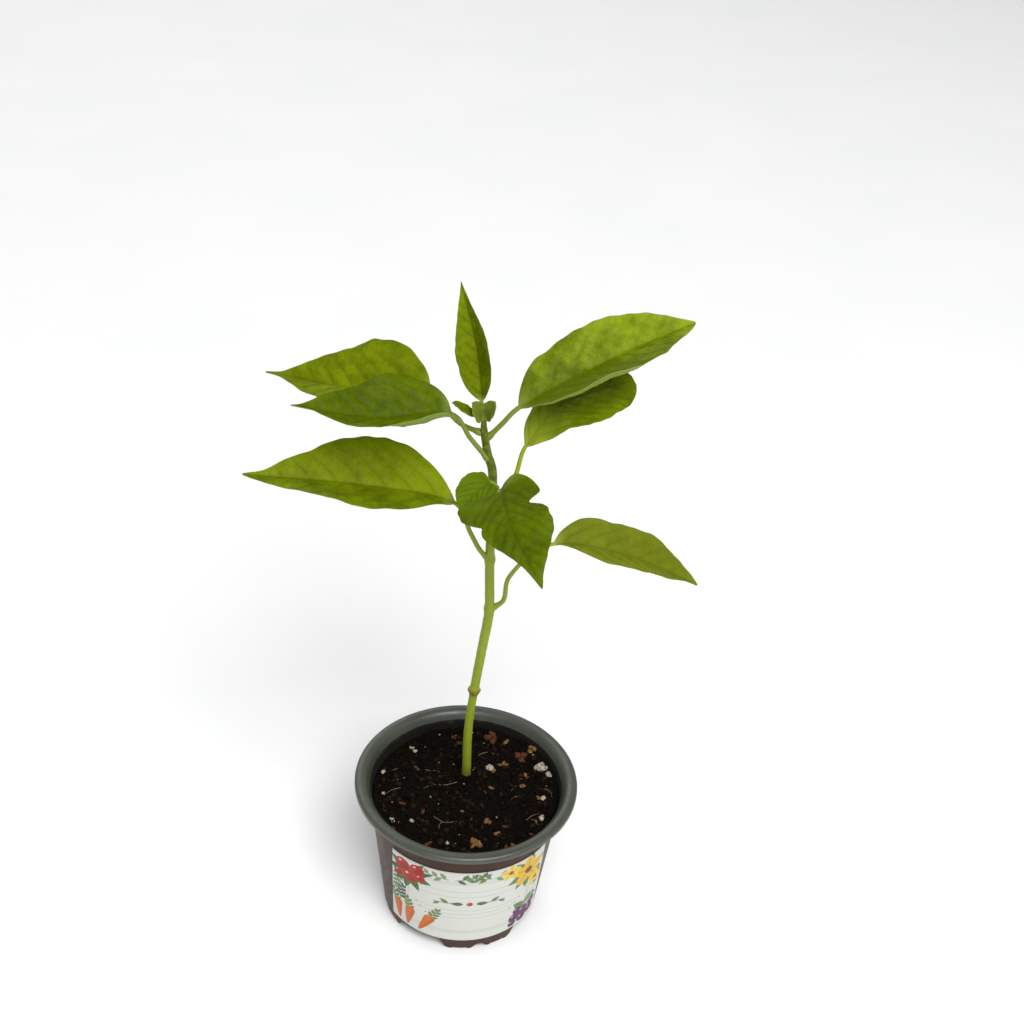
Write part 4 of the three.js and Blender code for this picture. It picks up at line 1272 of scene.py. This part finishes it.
def add_soil_detail():
    """Crumbs, pale grains, bark and fine roots on the soil."""
    draw = np.random.default_rng(11)
    crumbs = [(x, y, 0.7 + 1.9 * draw.uniform() ** 3, draw.uniform(0.9, 1.6),
               int(draw.uniform() < 0.3)) for x, y in scattered(draw, CRUMB_COUNT)
              if dist((x, y), STEM_PLACE) > 3]
    lump_mesh("soil_crumbs", crumbs, [
        grain_material("crumb_dark", (3, 2, 2), (24, 19, 15), 0.8, 0.9),
        grain_material("crumb_brown", (14, 10, 7), (50, 36, 25), 1.2, 0.9)], 3)
    pale = [(x, y, size, 1.25, 0) for x, y, size in PALE_GRAINS]
    pale += [(x, y, 0.4 + 0.5 * draw.uniform(), 1.2, 0)
             for x, y in scattered(draw, PALE_COUNT)]
    lump_mesh("soil_pale_grains", pale, [
        grain_material("pale_grain", (84, 70, 54), (206, 197, 178), 0.9, 0.8)],
        4, 0.4)
    bark = [(x + 0.26 * size * cos(2.1 * piece + index),
             y + 0.26 * size * sin(2.1 * piece + index), size * 0.55, 1.25, index % 2)
            for index, (x, y, size) in enumerate(BARK) for piece in range(3)]
    bark += [(x, y, 1 + 1.2 * draw.uniform(), 2.2, int(draw.uniform() < 0.5))
             for x, y in scattered(draw, BARK_COUNT)]
    lump_mesh("soil_bark", bark, [
        grain_material("bark_tan", (70, 46, 26), (150, 110, 66), 0.9, 0.85),
        grain_material("bark_red", (50, 30, 19), (104, 66, 40), 0.9, 0.85)], 5)
    points, faces = [], []
    paths = [[(x, y, soil_height(x, y) + 0.5) for x, y in path] for path in ROOTS]
    for x, y in scattered(draw, ROOT_COUNT):
        turn, length = draw.uniform(0, 6.28), draw.uniform(2, 5.5)
        path = [(x + length * (share - 0.5) * cos(turn + 0.5 * share),
                 y + length * (share - 0.5) * sin(turn + 0.5 * share))
                for share in (0, 0.35, 0.7, 1)]
        if max(hypot(*spot) for spot in path) < SOIL_RADIUS - 1:
            paths.append([(u, v, soil_height(u, v) + 0.4) for u, v in path])
    for path in paths:
        rings, quads = strand(path, STRAND_RADIUS)
        faces += [tuple(corner + len(points) for corner in quad) for quad in quads]
        points += rings
    roots = add_mesh("soil_roots", points, faces, looks=[
        grain_material("root_tan", (96, 80, 62), (150, 132, 108), 1.0, 0.8)])
    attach(roots, "root")


# ---- Floor and light ----

FLOOR_SIZE = 6.0
LIGHT_AIM = (0, 0, 0.15)
SKY_STRENGTH = 0.45


def add_area(name, place, size, power):
    """A square light of `size` metres, turned to the plant."""
    data = bpy.data.lights.new(name, "AREA")
    data.shape = "SQUARE"
    data.size = size
    data.energy = power
    light = bpy.data.objects.new(name, data)
    light.location = place
    aim = Vector(LIGHT_AIM) - Vector(place)
    light.rotation_euler = aim.to_track_quat("-Z", "Y").to_euler()
    bpy.context.scene.collection.objects.link(light)


def add_stage():
    size = FLOOR_SIZE / MM
    floor = add_mesh("floor", [(-size, -size, 0), (size, -size, 0), (size, size, 0),
                               (-size, size, 0)], [(0, 1, 2, 3)], looks=[floor_material()])
    world = bpy.data.worlds.new("studio")
    world.use_nodes = True
    sky = world.node_tree.nodes["Background"]
    sky.inputs["Color"].default_value = (1, 1, 1, 1)
    sky.inputs["Strength"].default_value = SKY_STRENGTH
    bpy.context.scene.world = world
    add_area("key", (0.7, -1.8, 2.8), 1.7, 100)
    add_area("back", (-0.8, 2.4, 2.0), 1.6, 14)
    view = bpy.context.scene.view_settings
    view.view_transform = "Standard"
    view.look = "None"


add_pot()
add_label()
add_soil()
add_soil_detail()
add_stem()
add_leaves()
add_stage()

bpy.context.view_layer.update()
